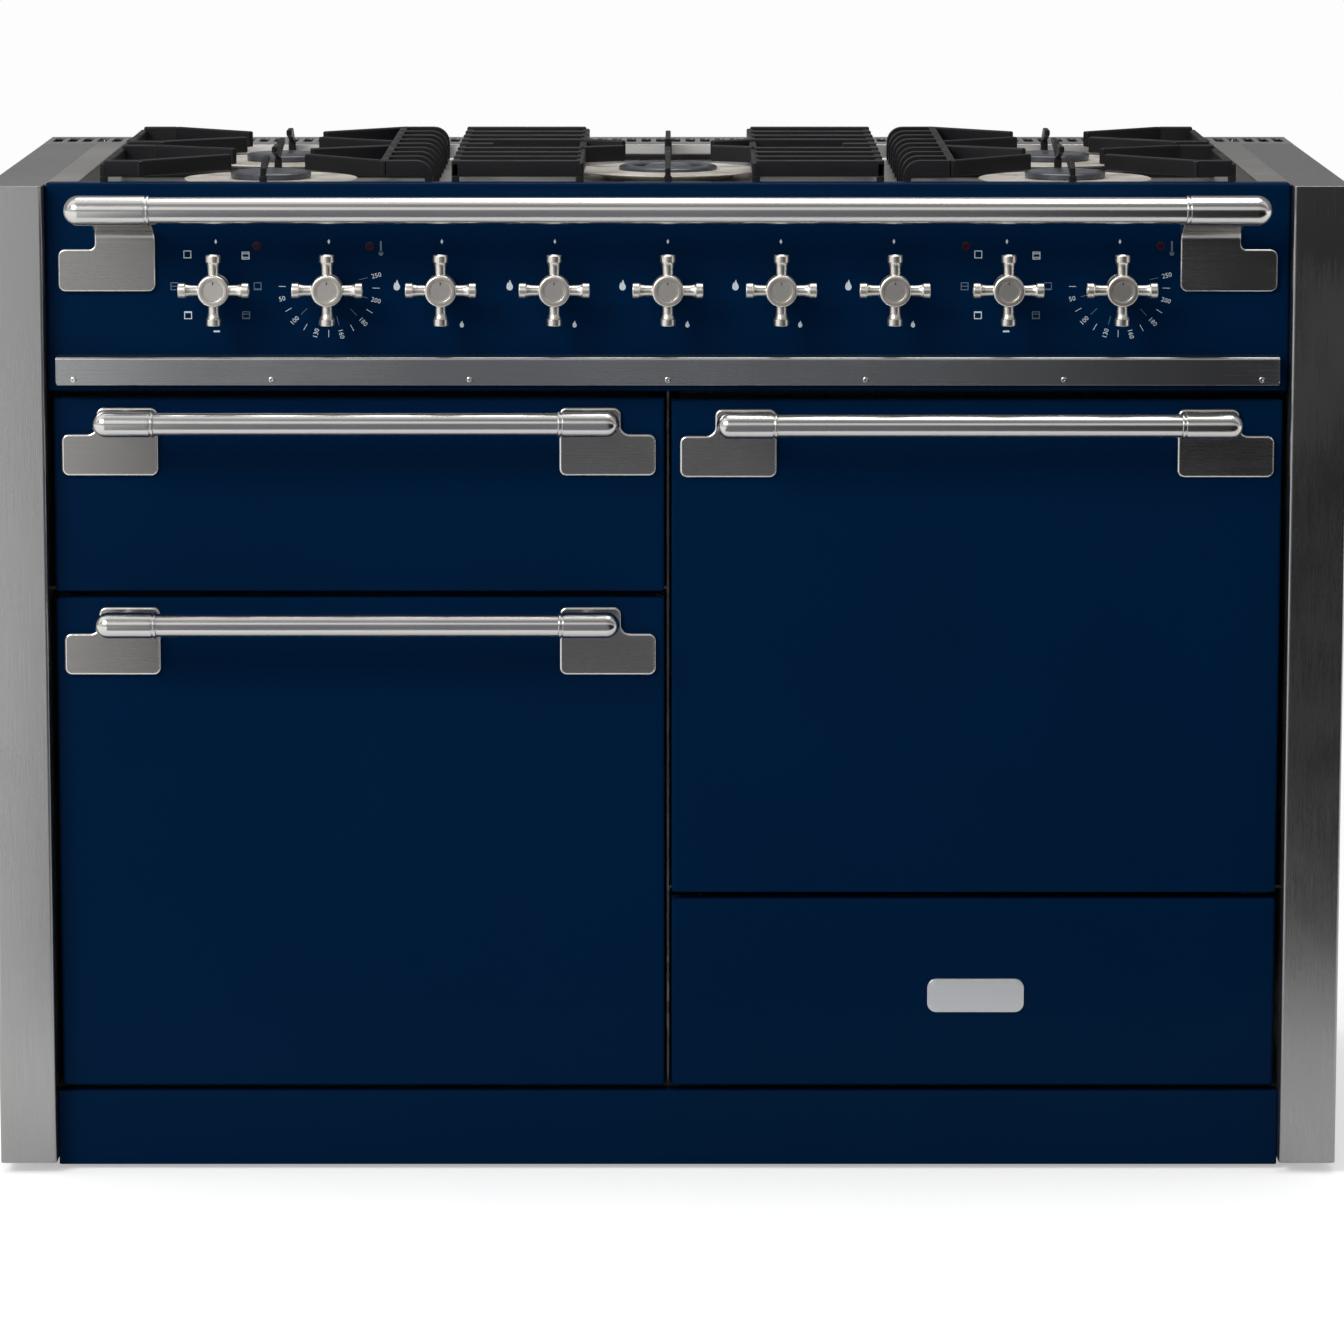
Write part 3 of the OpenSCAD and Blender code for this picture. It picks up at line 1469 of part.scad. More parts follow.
// A wire grid on four legs that stands in the pan
module trivet(low, high) {
    WIRE = 4;
    CROSS_WIRE = 3;
    IN = 6;
    BARS = 12;
    LEG = 16;
    z = low.z + PAN_WALL + LEG;
    rail_half = high.x - IN;
    bar_half = high.x - 2 * IN;
    for (y = [low.y + IN + WIRE, high.y - IN - WIRE]) {
        bar_x([-rail_half, y, z], 2 * rail_half, WIRE);
        for (side = [-1, 1])
            bar_z([side * (bar_half - IN), y, z - LEG + seam], LEG - seam, WIRE);
    }
    for (i = [0:BARS])
        bar_y([bar_half * (2 * i / BARS - 1), low.y + IN + WIRE / 2, z + WIRE / 4],
            high.y - low.y - 2 * IN - WIRE, CROSS_WIRE);
}

/* Storage drawer */

module storage_front() {
    color(NAVY) folded_front(column_x, fronts_z, column_w, storage_h, drawer_front_t);
}

module storage_box() {
    half = storage_w / 2;
    wall = [plate_t, plate_t, plate_t];
    low = [-half, carriage_y + plate_t / 2, fronts_z + (storage_h - storage_box_h) / 2];
    high = [half, chassis_y + storage_d, low.z + storage_box_h];
    color(GALVANISED) {
        carriage_plate(column_x, fronts_z, storage_h);
        translate([column_x, 0, 0]) difference() {
            block(low, high);
            block(low + wall, high + [-plate_t, -plate_t, 1]);
        }
        translate([column_x, 0, 0]) both_sides()
            block([half - plate_t / 2, low.y, storage_slide_z],
                [half + slide_t, high.y, storage_slide_z + slide_h]);
    }
}

side_panel_left();
side_panel_right();
chassis();
back_panel();
plinth();
levelling_feet();
fascia();
fascia_trim();
trim_screws();
top_rail();
top_rail_brackets();
hob_tray();
rear_vent();
grate_left();
grate_centre();
grate_right();
burner_bases();
burner_crowns();
burner_caps();
gas_manifold();
control_switches();
left_oven_cavity();
right_oven_cavity();
grill_cavity();
heating_elements();
oven_racks();
door_seals();
fan_motors();
fan_left();
fan_right();
left_door_panel();
left_door_liner();
left_door_hinges();
left_handle();
left_handle_brackets();
right_door_panel();
right_door_liner();
right_door_hinges();
right_handle();
right_handle_brackets();
grill_front();
grill_handle();
grill_handle_brackets();
grill_pan();
storage_front();
storage_box();
tap_spindle_1();
tap_spindle_2();
tap_spindle_3();
tap_spindle_4();
tap_spindle_5();
knob_left_function();
knob_left_temperature();
knob_gas_1();
knob_gas_2();
knob_gas_3();
knob_gas_4();
knob_gas_5();
knob_right_function();
knob_right_temperature();
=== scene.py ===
# %% [markdown]
# # A range cooker dressed around its frame
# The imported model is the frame: every size and place comes from it. Each step below says what a
# piece is on the real cooker, how it could be made, and why this way was chosen.

# %% Tools and frame
import math

import bmesh
import bpy
from mathutils import Matrix, Vector


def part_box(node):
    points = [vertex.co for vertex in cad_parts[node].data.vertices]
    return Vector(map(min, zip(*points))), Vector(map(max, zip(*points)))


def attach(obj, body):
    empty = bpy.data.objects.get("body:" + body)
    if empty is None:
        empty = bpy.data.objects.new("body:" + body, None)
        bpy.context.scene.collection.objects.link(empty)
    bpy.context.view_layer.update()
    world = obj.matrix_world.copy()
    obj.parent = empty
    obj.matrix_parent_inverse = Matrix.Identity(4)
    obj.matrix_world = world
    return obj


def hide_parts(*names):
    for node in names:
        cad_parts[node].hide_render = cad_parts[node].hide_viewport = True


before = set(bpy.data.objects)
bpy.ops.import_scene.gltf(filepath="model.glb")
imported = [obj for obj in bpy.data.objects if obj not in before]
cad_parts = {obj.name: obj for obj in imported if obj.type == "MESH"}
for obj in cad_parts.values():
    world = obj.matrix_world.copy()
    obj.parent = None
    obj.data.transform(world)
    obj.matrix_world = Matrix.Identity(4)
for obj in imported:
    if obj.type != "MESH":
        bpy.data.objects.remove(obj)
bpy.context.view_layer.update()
MM = 0.001
scene = bpy.context.scene

# %% [markdown]
# ## Camera
# The photograph looks straight at the front from 5.5 m away and 1.36 m above the floor, with a long
# lens. A shifted lens would keep the uprights exactly parallel, but the other views keep the shift,
# and the cooker would leave their frame. So the camera is tilted down, and it stands 1.33 m high,
# where the tilted picture fits the photograph best.

# %% Camera
PANEL_FRONT = -283.375 * MM
CAMERA_ASIDE, CAMERA_BACK, CAMERA_HEIGHT = 0.0037, 5.5, 1.3334
TILT_DOWN = 8.99
LENS_MM = 165.7
camera_data = bpy.data.cameras.new("photo_camera")
camera_data.lens = LENS_MM
camera = bpy.data.objects.new("photo_camera", camera_data)
camera.location = (CAMERA_ASIDE, PANEL_FRONT - CAMERA_BACK, CAMERA_HEIGHT)
camera.rotation_euler = (math.radians(90 - TILT_DOWN), 0.0, 0.0)
scene.collection.objects.link(camera)
scene.camera = camera
scene.view_settings.view_transform = "Standard"
print("camera at", [round(c, 3) for c in camera.location])

# %% [markdown]
# ## Room
# A pale floor runs out of view on every side. The sky of the studio is a set of soft bands: bright
# in front above, grey overhead, bright behind, dark at eye level. Polished tubes show these bands as
# the long stripes that the photograph has. The camera itself sees plain white. A dark flag leans in
# front of the cooker, as in a product studio, where only shiny metal sees it. Its felt fades from
# grey to black towards the right, because the photograph's brackets and trim darken that way.


# %% Node helpers
def node(tree, kind, **settings):
    """One node with some of its properties set."""
    made = tree.nodes.new(kind)
    for key, value in settings.items():
        setattr(made, key, value)
    return made


def wire(tree, *pairs):
    """Links sockets, each pair from an output to an input."""
    for source, target in pairs:
        tree.links.new(source, target)


def settle(shader, **values):
    """Sets a shader's sockets by name, with _ for a space."""
    for key, value in values.items():
        shader.inputs[key.replace("_", " ")].default_value = value


def sum_up(tree, operation, a, b, clamp=False):
    """A Math node on two numbers or sockets."""
    made = node(tree, "ShaderNodeMath", operation=operation, use_clamp=clamp)
    for slot, value in zip(made.inputs, (a, b)):
        if isinstance(value, bpy.types.NodeSocket):
            tree.links.new(value, slot)
        else:
            slot.default_value = value
    return made.outputs[0]


def remap(tree, value, low, high, to_low=0.0, to_high=1.0, smooth=True):
    """A value between low and high, put between two other numbers."""
    made = node(tree, "ShaderNodeMapRange")
    made.interpolation_type = "SMOOTHSTEP" if smooth else "LINEAR"
    tree.links.new(value, made.inputs["Value"])
    for key, number in (("From Min", low), ("From Max", high), ("To Min", to_low), ("To Max", to_high)):
        made.inputs[key].default_value = number
    return made.outputs["Result"]


def grey_ramp(tree, stops, low, high, blend, blue=1.0):
    """A ramp of greys, one for each (value, level), where low to high is the ramp's whole length."""
    made = node(tree, "ShaderNodeValToRGB")
    made.color_ramp.interpolation = blend
    elements = made.color_ramp.elements
    for index, (value, level) in enumerate(stops):
        place = (value - low) / (high - low)
        stop = elements[index] if index < 2 else elements.new(place)
        stop.position = place
        stop.color = (level, level, level * blue, 1)
    return made


# %% Studio sky
SKY_BANDS = [(-180, 0.32), (-150, 0.32), (-60, 0.5), (-4, 0.4), (7, 0.25), (15, 0.95), (29, 0.98), (40, 0.2),
             (52, 0.26), (64, 0.55), (74, 1.0), (90, 1.1), (104, 0.7), (118, 0.4), (134, 0.28), (180, 0.32)]
LEFT_GAIN, RIGHT_GAIN = 1.2, 0.75
world = bpy.data.worlds.new("studio")
scene.world = world
world.use_nodes = True
sky = world.node_tree
sky.nodes.clear()
split = node(sky, "ShaderNodeSeparateXYZ")
wire(sky, (node(sky, "ShaderNodeTexCoord").outputs["Generated"], split.inputs[0]))
toward_front = sum_up(sky, "MULTIPLY", split.outputs["Y"], -1.0)
elevation = sum_up(sky, "ARCTAN2", split.outputs["Z"], toward_front)
bands = grey_ramp(sky, SKY_BANDS, -180, 180, "EASE")
side_gain = remap(sky, split.outputs["X"], -0.5, 0.35, LEFT_GAIN, RIGHT_GAIN)
studio_light = node(sky, "ShaderNodeBackground")
plain_white = node(sky, "ShaderNodeBackground")
settle(plain_white, Strength=1.0, Color=(1, 1, 1, 1))
chooser = node(sky, "ShaderNodeMixShader")
wire(sky, (remap(sky, elevation, -math.pi, math.pi, smooth=False), bands.inputs[0]),
     (sum_up(sky, "MULTIPLY", bands.outputs["Color"], side_gain), studio_light.inputs["Strength"]),
     (node(sky, "ShaderNodeLightPath").outputs["Is Camera Ray"], chooser.inputs[0]),
     (studio_light.outputs[0], chooser.inputs[1]), (plain_white.outputs[0], chooser.inputs[2]),
     (chooser.outputs[0], node(sky, "ShaderNodeOutputWorld").inputs[0]))
print("sky bands:", len(SKY_BANDS))


# %% Stage helpers
def stage_plane(name, corners):
    """A flat sheet of the studio, which isn't part of the cooker."""
    mesh = bpy.data.meshes.new(name)
    mesh.from_pydata(corners, [], [(0, 1, 2, 3)])
    plane = bpy.data.objects.new(name, mesh)
    scene.collection.objects.link(plane)
    return plane


def stage_finish(plane, name):
    """A matt material on a studio sheet. Returns its node tree and its shader."""
    material = bpy.data.materials.new(name)
    material.use_nodes = True
    shader = material.node_tree.nodes["Principled BSDF"]
    settle(shader, Roughness=1.0, Specular_IOR_Level=0.0)
    plane.data.materials.append(material)
    return material.node_tree, shader


# %% [markdown]
# ## Floor
# Near the cooker the floor is pale grey and takes its shadow. Further out it fades to a plain glow,
# so that it ends in white like the sky, to the camera and in the metal alike.

# %% Floor
REACH = 60.0
SHADOW_END, WHITE_FROM = 0.9, 3.5
FLOOR_GREY, NEAR_LIFT, FAR_GLOW = 0.80, 0.42, 0.98
floor = stage_plane("studio_floor", [(-REACH, -REACH, 0), (REACH, -REACH, 0), (REACH, REACH, 0),
                                     (-REACH, REACH, 0)])
floor_tree, pale_shader = stage_finish(floor, "pale_floor")
settle(pale_shader, Emission_Color=(1, 1, 1, 1))
distance = node(floor_tree, "ShaderNodeVectorMath", operation="LENGTH")
wire(floor_tree, (node(floor_tree, "ShaderNodeTexCoord").outputs["Object"], distance.inputs[0]))
far = remap(floor_tree, distance.outputs["Value"], SHADOW_END, WHITE_FROM)
ray = node(floor_tree, "ShaderNodeLightPath")
shown = sum_up(floor_tree, "MAXIMUM", ray.outputs["Is Camera Ray"], ray.outputs["Is Glossy Ray"])
shown = sum_up(floor_tree, "MAXIMUM", shown, ray.outputs["Is Transmission Ray"])
tone = node(floor_tree, "ShaderNodeMix", data_type="RGBA")
tone.inputs[6].default_value = (FLOOR_GREY, FLOOR_GREY, FLOOR_GREY, 1)
tone.inputs[7].default_value = (0.0, 0.0, 0.0, 1)
glow = node(floor_tree, "ShaderNodeMix")
wire(floor_tree, (sum_up(floor_tree, "MULTIPLY", shown, far), tone.inputs[0]),
     (tone.outputs[2], pale_shader.inputs["Base Color"]), (far, glow.inputs[0]),
     (sum_up(floor_tree, "MULTIPLY", ray.outputs["Is Camera Ray"], NEAR_LIFT), glow.inputs[2]),
     (sum_up(floor_tree, "MULTIPLY", shown, FAR_GLOW), glow.inputs[3]),
     (glow.outputs[0], pale_shader.inputs["Emission Strength"]))
print("floor reaches", REACH, "m")

# %% Dark flag
FLAG_FOOT, FLAG_TOP = PANEL_FRONT - 0.7, PANEL_FRONT - 2.1
FLAG_LEFT, FLAG_RIGHT, FLAG_LOW, FLAG_HIGH = -0.64, 3.2, 0.004, 1.24
FELT_GREYS = [(-0.64, 0.2), (-0.4, 0.2), (-0.05, 0.24), (0.3, 0.18), (0.5, 0.06), (0.66, 0.012)]
flag = stage_plane("dark_flag", [(FLAG_LEFT, FLAG_FOOT, FLAG_LOW), (FLAG_RIGHT, FLAG_FOOT, FLAG_LOW),
                                 (FLAG_RIGHT, FLAG_TOP, FLAG_HIGH), (FLAG_LEFT, FLAG_TOP, FLAG_HIGH)])
felt_tree, felt_shader = stage_finish(flag, "black_felt")
fade = grey_ramp(felt_tree, FELT_GREYS, -1, 1, "LINEAR", blue=1.1)
cloth = node(felt_tree, "ShaderNodeSeparateXYZ")
wire(felt_tree, (node(felt_tree, "ShaderNodeTexCoord").outputs["Object"], cloth.inputs[0]),
     (remap(felt_tree, cloth.outputs["X"], -1, 1, smooth=False), fade.inputs[0]),
     (fade.outputs[0], felt_shader.inputs["Base Color"]))
for ray_kind in ("camera", "diffuse", "shadow", "transmission", "volume_scatter"):
    setattr(flag, "visible_" + ray_kind, False)
print("flag, m:", round(FLAG_RIGHT - FLAG_LEFT, 2), "wide and", FLAG_HIGH, "high")


# %% Lamps
def soft_lamp(name, place, target, size, power):
    """A rectangular lamp that faces its target."""
    data = bpy.data.lights.new(name, "AREA")
    data.shape = "RECTANGLE"
    data.size, data.size_y = size
    data.energy = power
    lamp = bpy.data.objects.new(name, data)
    lamp.location = place
    lamp.rotation_euler = (Vector(target) - Vector(place)).to_track_quat("-Z", "Y").to_euler()
    scene.collection.objects.link(lamp)


KEY_WATTS, TOP_WATTS = 122, 42
soft_lamp("key_lamp", (-2.6, -3.4, 3.2), (0, 0, 0.5), (2.2, 1.6), KEY_WATTS)
soft_lamp("top_lamp", (0.2, 0.3, 3.4), (0, 0.1, 0.9), (2.6, 1.6), TOP_WATTS)
print("lamps:", KEY_WATTS, "W and", TOP_WATTS, "W")

# %% [markdown]
# ## Mesh tools
# Nearly every visible part is folded sheet, a turned bar or a plate with a cut outline. Three small
# helpers make these: a box with soft edges, a prism over an outline, and a turned profile. They are
# written in millimetres, as on a drawing.


# %% Mesh tools
def vec(*mm):
    """A point given in millimetres."""
    return Vector(mm) * MM


def soften(bm, edges, r, steps):
    """Rounds edges by r in mm."""
    bmesh.ops.bevel(bm, geom=list(edges), offset=r * MM, segments=steps, profile=0.5, affect="EDGES",
                    clamp_overlap=True)


def soft_box(bm, low, high, r, steps=2):
    """A box between two corners in mm, with its edges rounded by r."""
    low, high = Vector(low), Vector(high)
    verts = bmesh.ops.create_cube(bm, size=1.0)["verts"]
    for v in verts:
        v.co = Vector((low + high) / 2 + Vector(a * b for a, b in zip(v.co, high - low))) * MM
    soften(bm, dict.fromkeys(e for v in verts for e in v.link_edges), r, steps)


# %% Outlines and prisms
def xz(u, v, w):
    """Puts an outline that is seen from the front at depth w."""
    return vec(u, w, v)


def yz(u, v, w):
    """Puts an outline that is seen from the side at w across."""
    return vec(w, u, v)


def xy(u, v, w):
    """Puts an outline that is seen from above at height w."""
    return vec(u, v, w)


def rounded(points, radii, steps=6):
    """An outline with each corner turned into an arc. One radius, or one for each corner."""
    count = len(points)
    radii = [radii] * count if isinstance(radii, (int, float)) else radii
    out = []
    for i, r in enumerate(radii):
        here = Vector(points[i])
        if r <= 0:
            out.append(tuple(here))
            continue
        back = (Vector(points[i - 1]) - here).normalized()
        ahead = (Vector(points[(i + 1) % count]) - here).normalized()
        half = back.angle(ahead) / 2
        start, end = here + back * r / math.tan(half), here + ahead * r / math.tan(half)
        centre = here + (back + ahead).normalized() * r / math.sin(half)
        a0 = math.atan2(*(start - centre).yx)
        a1 = math.atan2(*(end - centre).yx)
        sweep = (a1 - a0 + math.pi) % (2 * math.pi) - math.pi
        out += [tuple(centre + Vector((math.cos(a0 + sweep * k / steps), math.sin(a0 + sweep * k / steps))) * r)
                for k in range(steps + 1)]
    return out


def rectangle(low, high, r, steps=6):
    """A rectangle between two corners, with round corners of radius r."""
    return rounded([low, (high[0], low[1]), high, (low[0], high[1])], r, steps)


def prism(bm, outline, place, w0, w1, soft=0.0, steps=2):
    """A solid over an outline, from w0 to w1, with both rims rounded by soft."""
    rings = [[bm.verts.new(place(u, v, w)) for u, v in outline] for w in (w0, w1)]
    caps = [bm.faces.new(ring) for ring in rings]
    count = len(outline)
    sides = [bm.faces.new((rings[0][i], rings[0][(i + 1) % count], rings[1][(i + 1) % count], rings[1][i]))
             for i in range(count)]
    bmesh.ops.recalc_face_normals(bm, faces=caps + sides)
    if soft > 0:
        soften(bm, dict.fromkeys(e for cap in caps for e in cap.edges), soft, steps)


# %% [markdown]
# ## Turned bodies
# Caps, hubs, screws and dishes are drawn as half of their section, which is then turned about an
# axis, as on a lathe. A Screw modifier could do it. Rings of points keep the poles clean.

# %% Turned bodies
AXES = {"x": ((1, 0, 0), (0, 1, 0), (0, 0, 1)), "y": ((0, 1, 0), (0, 0, 1), (1, 0, 0)),
        "z": ((0, 0, 1), (1, 0, 0), (0, 1, 0)), "-x": ((-1, 0, 0), (0, 1, 0), (0, 0, 1))}


def turned(bm, profile, axis, centre, sides=56):
    """A body turned about an axis through centre. The profile is (along, radius) pairs in mm; where
    it starts and ends on the axis it closes in a pole, and else its last ring joins its first."""
    along_axis, u, v = (Vector(a) for a in AXES[axis])
    rings = []
    for along, radius in profile:
        at = Vector(centre) + along_axis * along
        turns = range(sides if radius > 1e-6 else 1)
        spokes = [u * math.cos(2 * math.pi * k / sides) + v * math.sin(2 * math.pi * k / sides) for k in turns]
        rings.append([bm.verts.new((at + spoke * radius) * MM) for spoke in spokes])
    closed = len(rings[0]) > 1 and len(rings[-1]) > 1
    pairs = list(zip(rings, rings[1:])) + ([(rings[-1], rings[0])] if closed else [])
    faces = []
    for a, b in pairs:
        for k in range(sides):
            corners = list(dict.fromkeys((a[k % len(a)], a[(k + 1) % len(a)], b[(k + 1) % len(b)], b[k % len(b)])))
            if len(corners) > 2:
                faces.append(bm.faces.new(corners))
    bmesh.ops.recalc_face_normals(bm, faces=faces)


def arc(along, radius, r, a0, a1, steps=6):
    """Points of an arc in a profile, about (along, radius), from a0 to a1 degrees."""
    angles = [math.radians(a0 + (a1 - a0) * k / steps) for k in range(steps + 1)]
    return [(along + r * math.cos(a), radius + r * math.sin(a)) for a in angles]


# %% [markdown]
# ## Pieces
# A finished shape becomes an object that rides on a body of the frame. Its faces are smooth up to a
# sharp angle, and broad faces rule the normals, so flat metal keeps flat reflections beside its
# rounded edges. Sheet metal is drawn as a skin and gets its thickness from a modifier.

# %% Pieces
SHARP = 32


def piece(name, bm, body, finish, replaces=()):
    """Turns a bmesh into a piece that rides on a body and may stand for a node of the frame."""
    mesh = bpy.data.meshes.new(name)
    bm.to_mesh(mesh)
    bm.free()
    mesh.materials.append(finish)
    mesh.polygons.foreach_set("use_smooth", [True] * len(mesh.polygons))
    mesh.set_sharp_from_angle(angle=math.radians(SHARP))
    obj = bpy.data.objects.new(name, mesh)
    scene.collection.objects.link(obj)
    obj.modifiers.new("Flat faces", "WEIGHTED_NORMAL").keep_sharp = True
    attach(obj, body)
    if replaces:
        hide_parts(*replaces)
    print(obj.name, len(mesh.polygons), "faces")
    return obj


def thicken(obj, sheet):
    """Gives a skin the thickness of its sheet, inwards, before its normals are weighted."""
    wall = obj.modifiers.new("Sheet", "SOLIDIFY")
    wall.thickness = sheet * MM
    wall.offset = -1
    obj.modifiers.move(1, 0)


# %% Cuts, mirror images and measures
def slice_at(bm, axis, at, drop_past=False):
    """Cuts all faces at a plane across an axis, at a place in mm, and may drop what lies past it."""
    normal = Vector((axis == "x", axis == "y", axis == "z"))
    bmesh.ops.bisect_plane(bm, geom=bm.verts[:] + bm.edges[:] + bm.faces[:], plane_co=normal * at * MM,
                           plane_no=normal, clear_outer=drop_past)


def flip(bm, faces, verts):
    """Takes shapes to the other side of the middle plane, with their faces still pointing outwards."""
    for v in verts:
        v.co.x = -v.co.x
    bmesh.ops.reverse_faces(bm, faces=faces)


def mirrored(bm):
    """The same shapes on the other side of the middle plane as well."""
    twin = bmesh.ops.duplicate(bm, geom=bm.faces[:])["geom"]
    flip(bm, [g for g in twin if isinstance(g, bmesh.types.BMFace)],
         [g for g in twin if isinstance(g, bmesh.types.BMVert)])


def low_mm(name):
    """The lowest corner of a node of the frame."""
    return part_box(name)[0] / MM


def high_mm(name):
    """The highest corner of a node."""
    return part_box(name)[1] / MM


def middle_mm(name):
    """The middle of a node's box."""
    return (low_mm(name) + high_mm(name)) / 2


# %% [markdown]
# ## Repeats
# Screws, grate bars, louvres, knob arms and the teeth of the burners repeat. Two small Geometry
# Nodes trees lay a part out along a line or round a ring. Copies made in a loop would do too, but a
# tree keeps the count and the step as two inputs. The result becomes a plain mesh before it rides.


# %% Row and ring trees
def open_tree(name, *extra):
    """A tree that puts a part on each point of a line, with named inputs for its sizes."""
    tree = bpy.data.node_groups.new(name, "GeometryNodeTree")
    sockets = (("Geometry", "NodeSocketGeometry"), ("Part", "NodeSocketObject"), ("Count", "NodeSocketInt"),
               *extra, ("Finish", "NodeSocketMaterial"))
    for key, kind in sockets:
        tree.interface.new_socket(name=key, in_out="INPUT", socket_type=kind)
    tree.interface.new_socket(name="Geometry", in_out="OUTPUT", socket_type="NodeSocketGeometry")
    inputs = node(tree, "NodeGroupInput")
    line = node(tree, "GeometryNodeMeshLine", mode="OFFSET")
    part = node(tree, "GeometryNodeObjectInfo", transform_space="ORIGINAL")
    spread = node(tree, "GeometryNodeInstanceOnPoints")
    real = node(tree, "GeometryNodeRealizeInstances")
    paint = node(tree, "GeometryNodeSetMaterial")
    wire(tree, (inputs.outputs["Count"], line.inputs["Count"]), (inputs.outputs["Part"], part.inputs["Object"]),
         (line.outputs[0], spread.inputs["Points"]), (part.outputs["Geometry"], spread.inputs["Instance"]),
         (spread.outputs[0], real.inputs[0]), (real.outputs[0], paint.inputs["Geometry"]),
         (inputs.outputs["Finish"], paint.inputs["Material"]),
         (paint.outputs[0], node(tree, "NodeGroupOutput").inputs[0]))
    return tree, inputs, line, spread


def row_tree():
    """A part is repeated in equal steps along a line."""
    tree, inputs, line, _ = open_tree("row_of_parts", ("Step", "NodeSocketVector"))
    wire(tree, (inputs.outputs["Step"], line.inputs["Offset"]))
    return tree


def ring_tree():
    """A part that is modelled at the ring's centre is turned in equal steps about the ring's axis."""
    tree, inputs, line, spread = open_tree("ring_of_parts", ("Centre", "NodeSocketVector"),
                                           ("Axis", "NodeSocketVector"), ("Turn", "NodeSocketFloat"))
    line.inputs["Offset"].default_value = (0, 0, 0)
    angle = node(tree, "ShaderNodeMath", operation="MULTIPLY")
    rotation = node(tree, "FunctionNodeAxisAngleToRotation")
    wire(tree, (inputs.outputs["Centre"], line.inputs["Start Location"]),
         (node(tree, "GeometryNodeInputIndex").outputs[0], angle.inputs[0]),
         (inputs.outputs["Turn"], angle.inputs[1]), (inputs.outputs["Axis"], rotation.inputs["Axis"]),
         (angle.outputs[0], rotation.inputs["Angle"]), (rotation.outputs[0], spread.inputs["Rotation"]))
    return tree


ROW = row_tree()
RING = ring_tree()


# %% Laying out and joining
def repeated(bm, tree, finish, **values):
    """Lays out the part in bm with a tree, and returns the result as a bmesh."""
    mesh = bpy.data.meshes.new("part")
    bm.to_mesh(mesh)
    bm.free()
    part = bpy.data.objects.new("part", mesh)
    host = bpy.data.objects.new("host", bpy.data.meshes.new("host"))
    for obj in (part, host):
        scene.collection.objects.link(obj)
    modifier = host.modifiers.new("Layout", "NODES")
    modifier.node_group = tree
    values.update(Part=part, Finish=finish)
    for item in tree.interface.items_tree:
        if item.in_out == "INPUT" and item.name in values:
            modifier[item.identifier] = values[item.name]
    bpy.context.view_layer.update()
    evaluated = host.evaluated_get(bpy.context.evaluated_depsgraph_get())
    result = bpy.data.meshes.new_from_object(evaluated)
    out = bmesh.new()
    out.from_mesh(result)
    host.modifiers.clear()
    for obj in (part, host):
        bpy.data.objects.remove(obj)
    return out


def pour(part, whole):
    """Adds one bmesh to another and frees it."""
    mesh = bpy.data.meshes.new("poured")
    part.to_mesh(mesh)
    part.free()
    whole.from_mesh(mesh)
    bpy.data.meshes.remove(mesh)


def joined(*parts):
    """Several bmeshes as one."""
    whole = bmesh.new()
    for part in parts:
        pour(part, whole)
    return whole


# %% [markdown]
# ## Surface effects
# Four effects are used by several materials: drawn-out grain for brushed steel, soft clouds for
# wiped and handled surfaces, fine pits for castings, and flecks for speckled enamel and zinc. Each is
# a shader group that reads Object coordinates, and puts out only values.


# %% Effect groups
def effect(name, *inputs, outputs=("Value",)):
    """An empty shader group with a Place input, its own inputs and its outputs."""
    tree = bpy.data.node_groups.new(name, "ShaderNodeTree")
    tree.interface.new_socket(name="Place", in_out="INPUT", socket_type="NodeSocketVector")
    for key, value in inputs:
        kind = "NodeSocketVector" if isinstance(value, tuple) else "NodeSocketFloat"
        tree.interface.new_socket(name=key, in_out="INPUT", socket_type=kind).default_value = value
    for key in outputs:
        tree.interface.new_socket(name=key, in_out="OUTPUT", socket_type="NodeSocketFloat")
    return tree, node(tree, "NodeGroupInput"), node(tree, "NodeGroupOutput")


def scaled(tree, inputs, key):
    """The place, multiplied by a vector input."""
    made = node(tree, "ShaderNodeVectorMath", operation="MULTIPLY")
    wire(tree, (inputs.outputs["Place"], made.inputs[0]), (inputs.outputs[key], made.inputs[1]))
    return made.outputs[0]


def noise_effect(name, key, per_metre, detail, roughness, low, high, smooth=False):
    """One noise, scaled by the named input, with its useful range from low to high put at 0 to 1."""
    tree, inputs, outputs = effect(name, (key, per_metre))
    noise = node(tree, "ShaderNodeTexNoise")
    settle(noise, Scale=1.0, Detail=detail, Roughness=roughness)
    wire(tree, (scaled(tree, inputs, key), noise.inputs["Vector"]))
    wire(tree, (remap(tree, noise.outputs["Fac"], low, high, smooth=smooth), outputs.inputs[0]))
    return tree


GRAIN = noise_effect("brushed_grain", "Lines per metre", (900.0, 900.0, 12.0), 4, 0.65, 0.3, 0.7)
CLOUD = noise_effect("handled_cloud", "Per metre", (6.0, 6.0, 6.0), 3, 0.55, 0.32, 0.7, smooth=True)
PITS = noise_effect("cast_pits", "Per metre", (900.0, 900.0, 900.0), 5, 0.7, 0.25, 0.75)

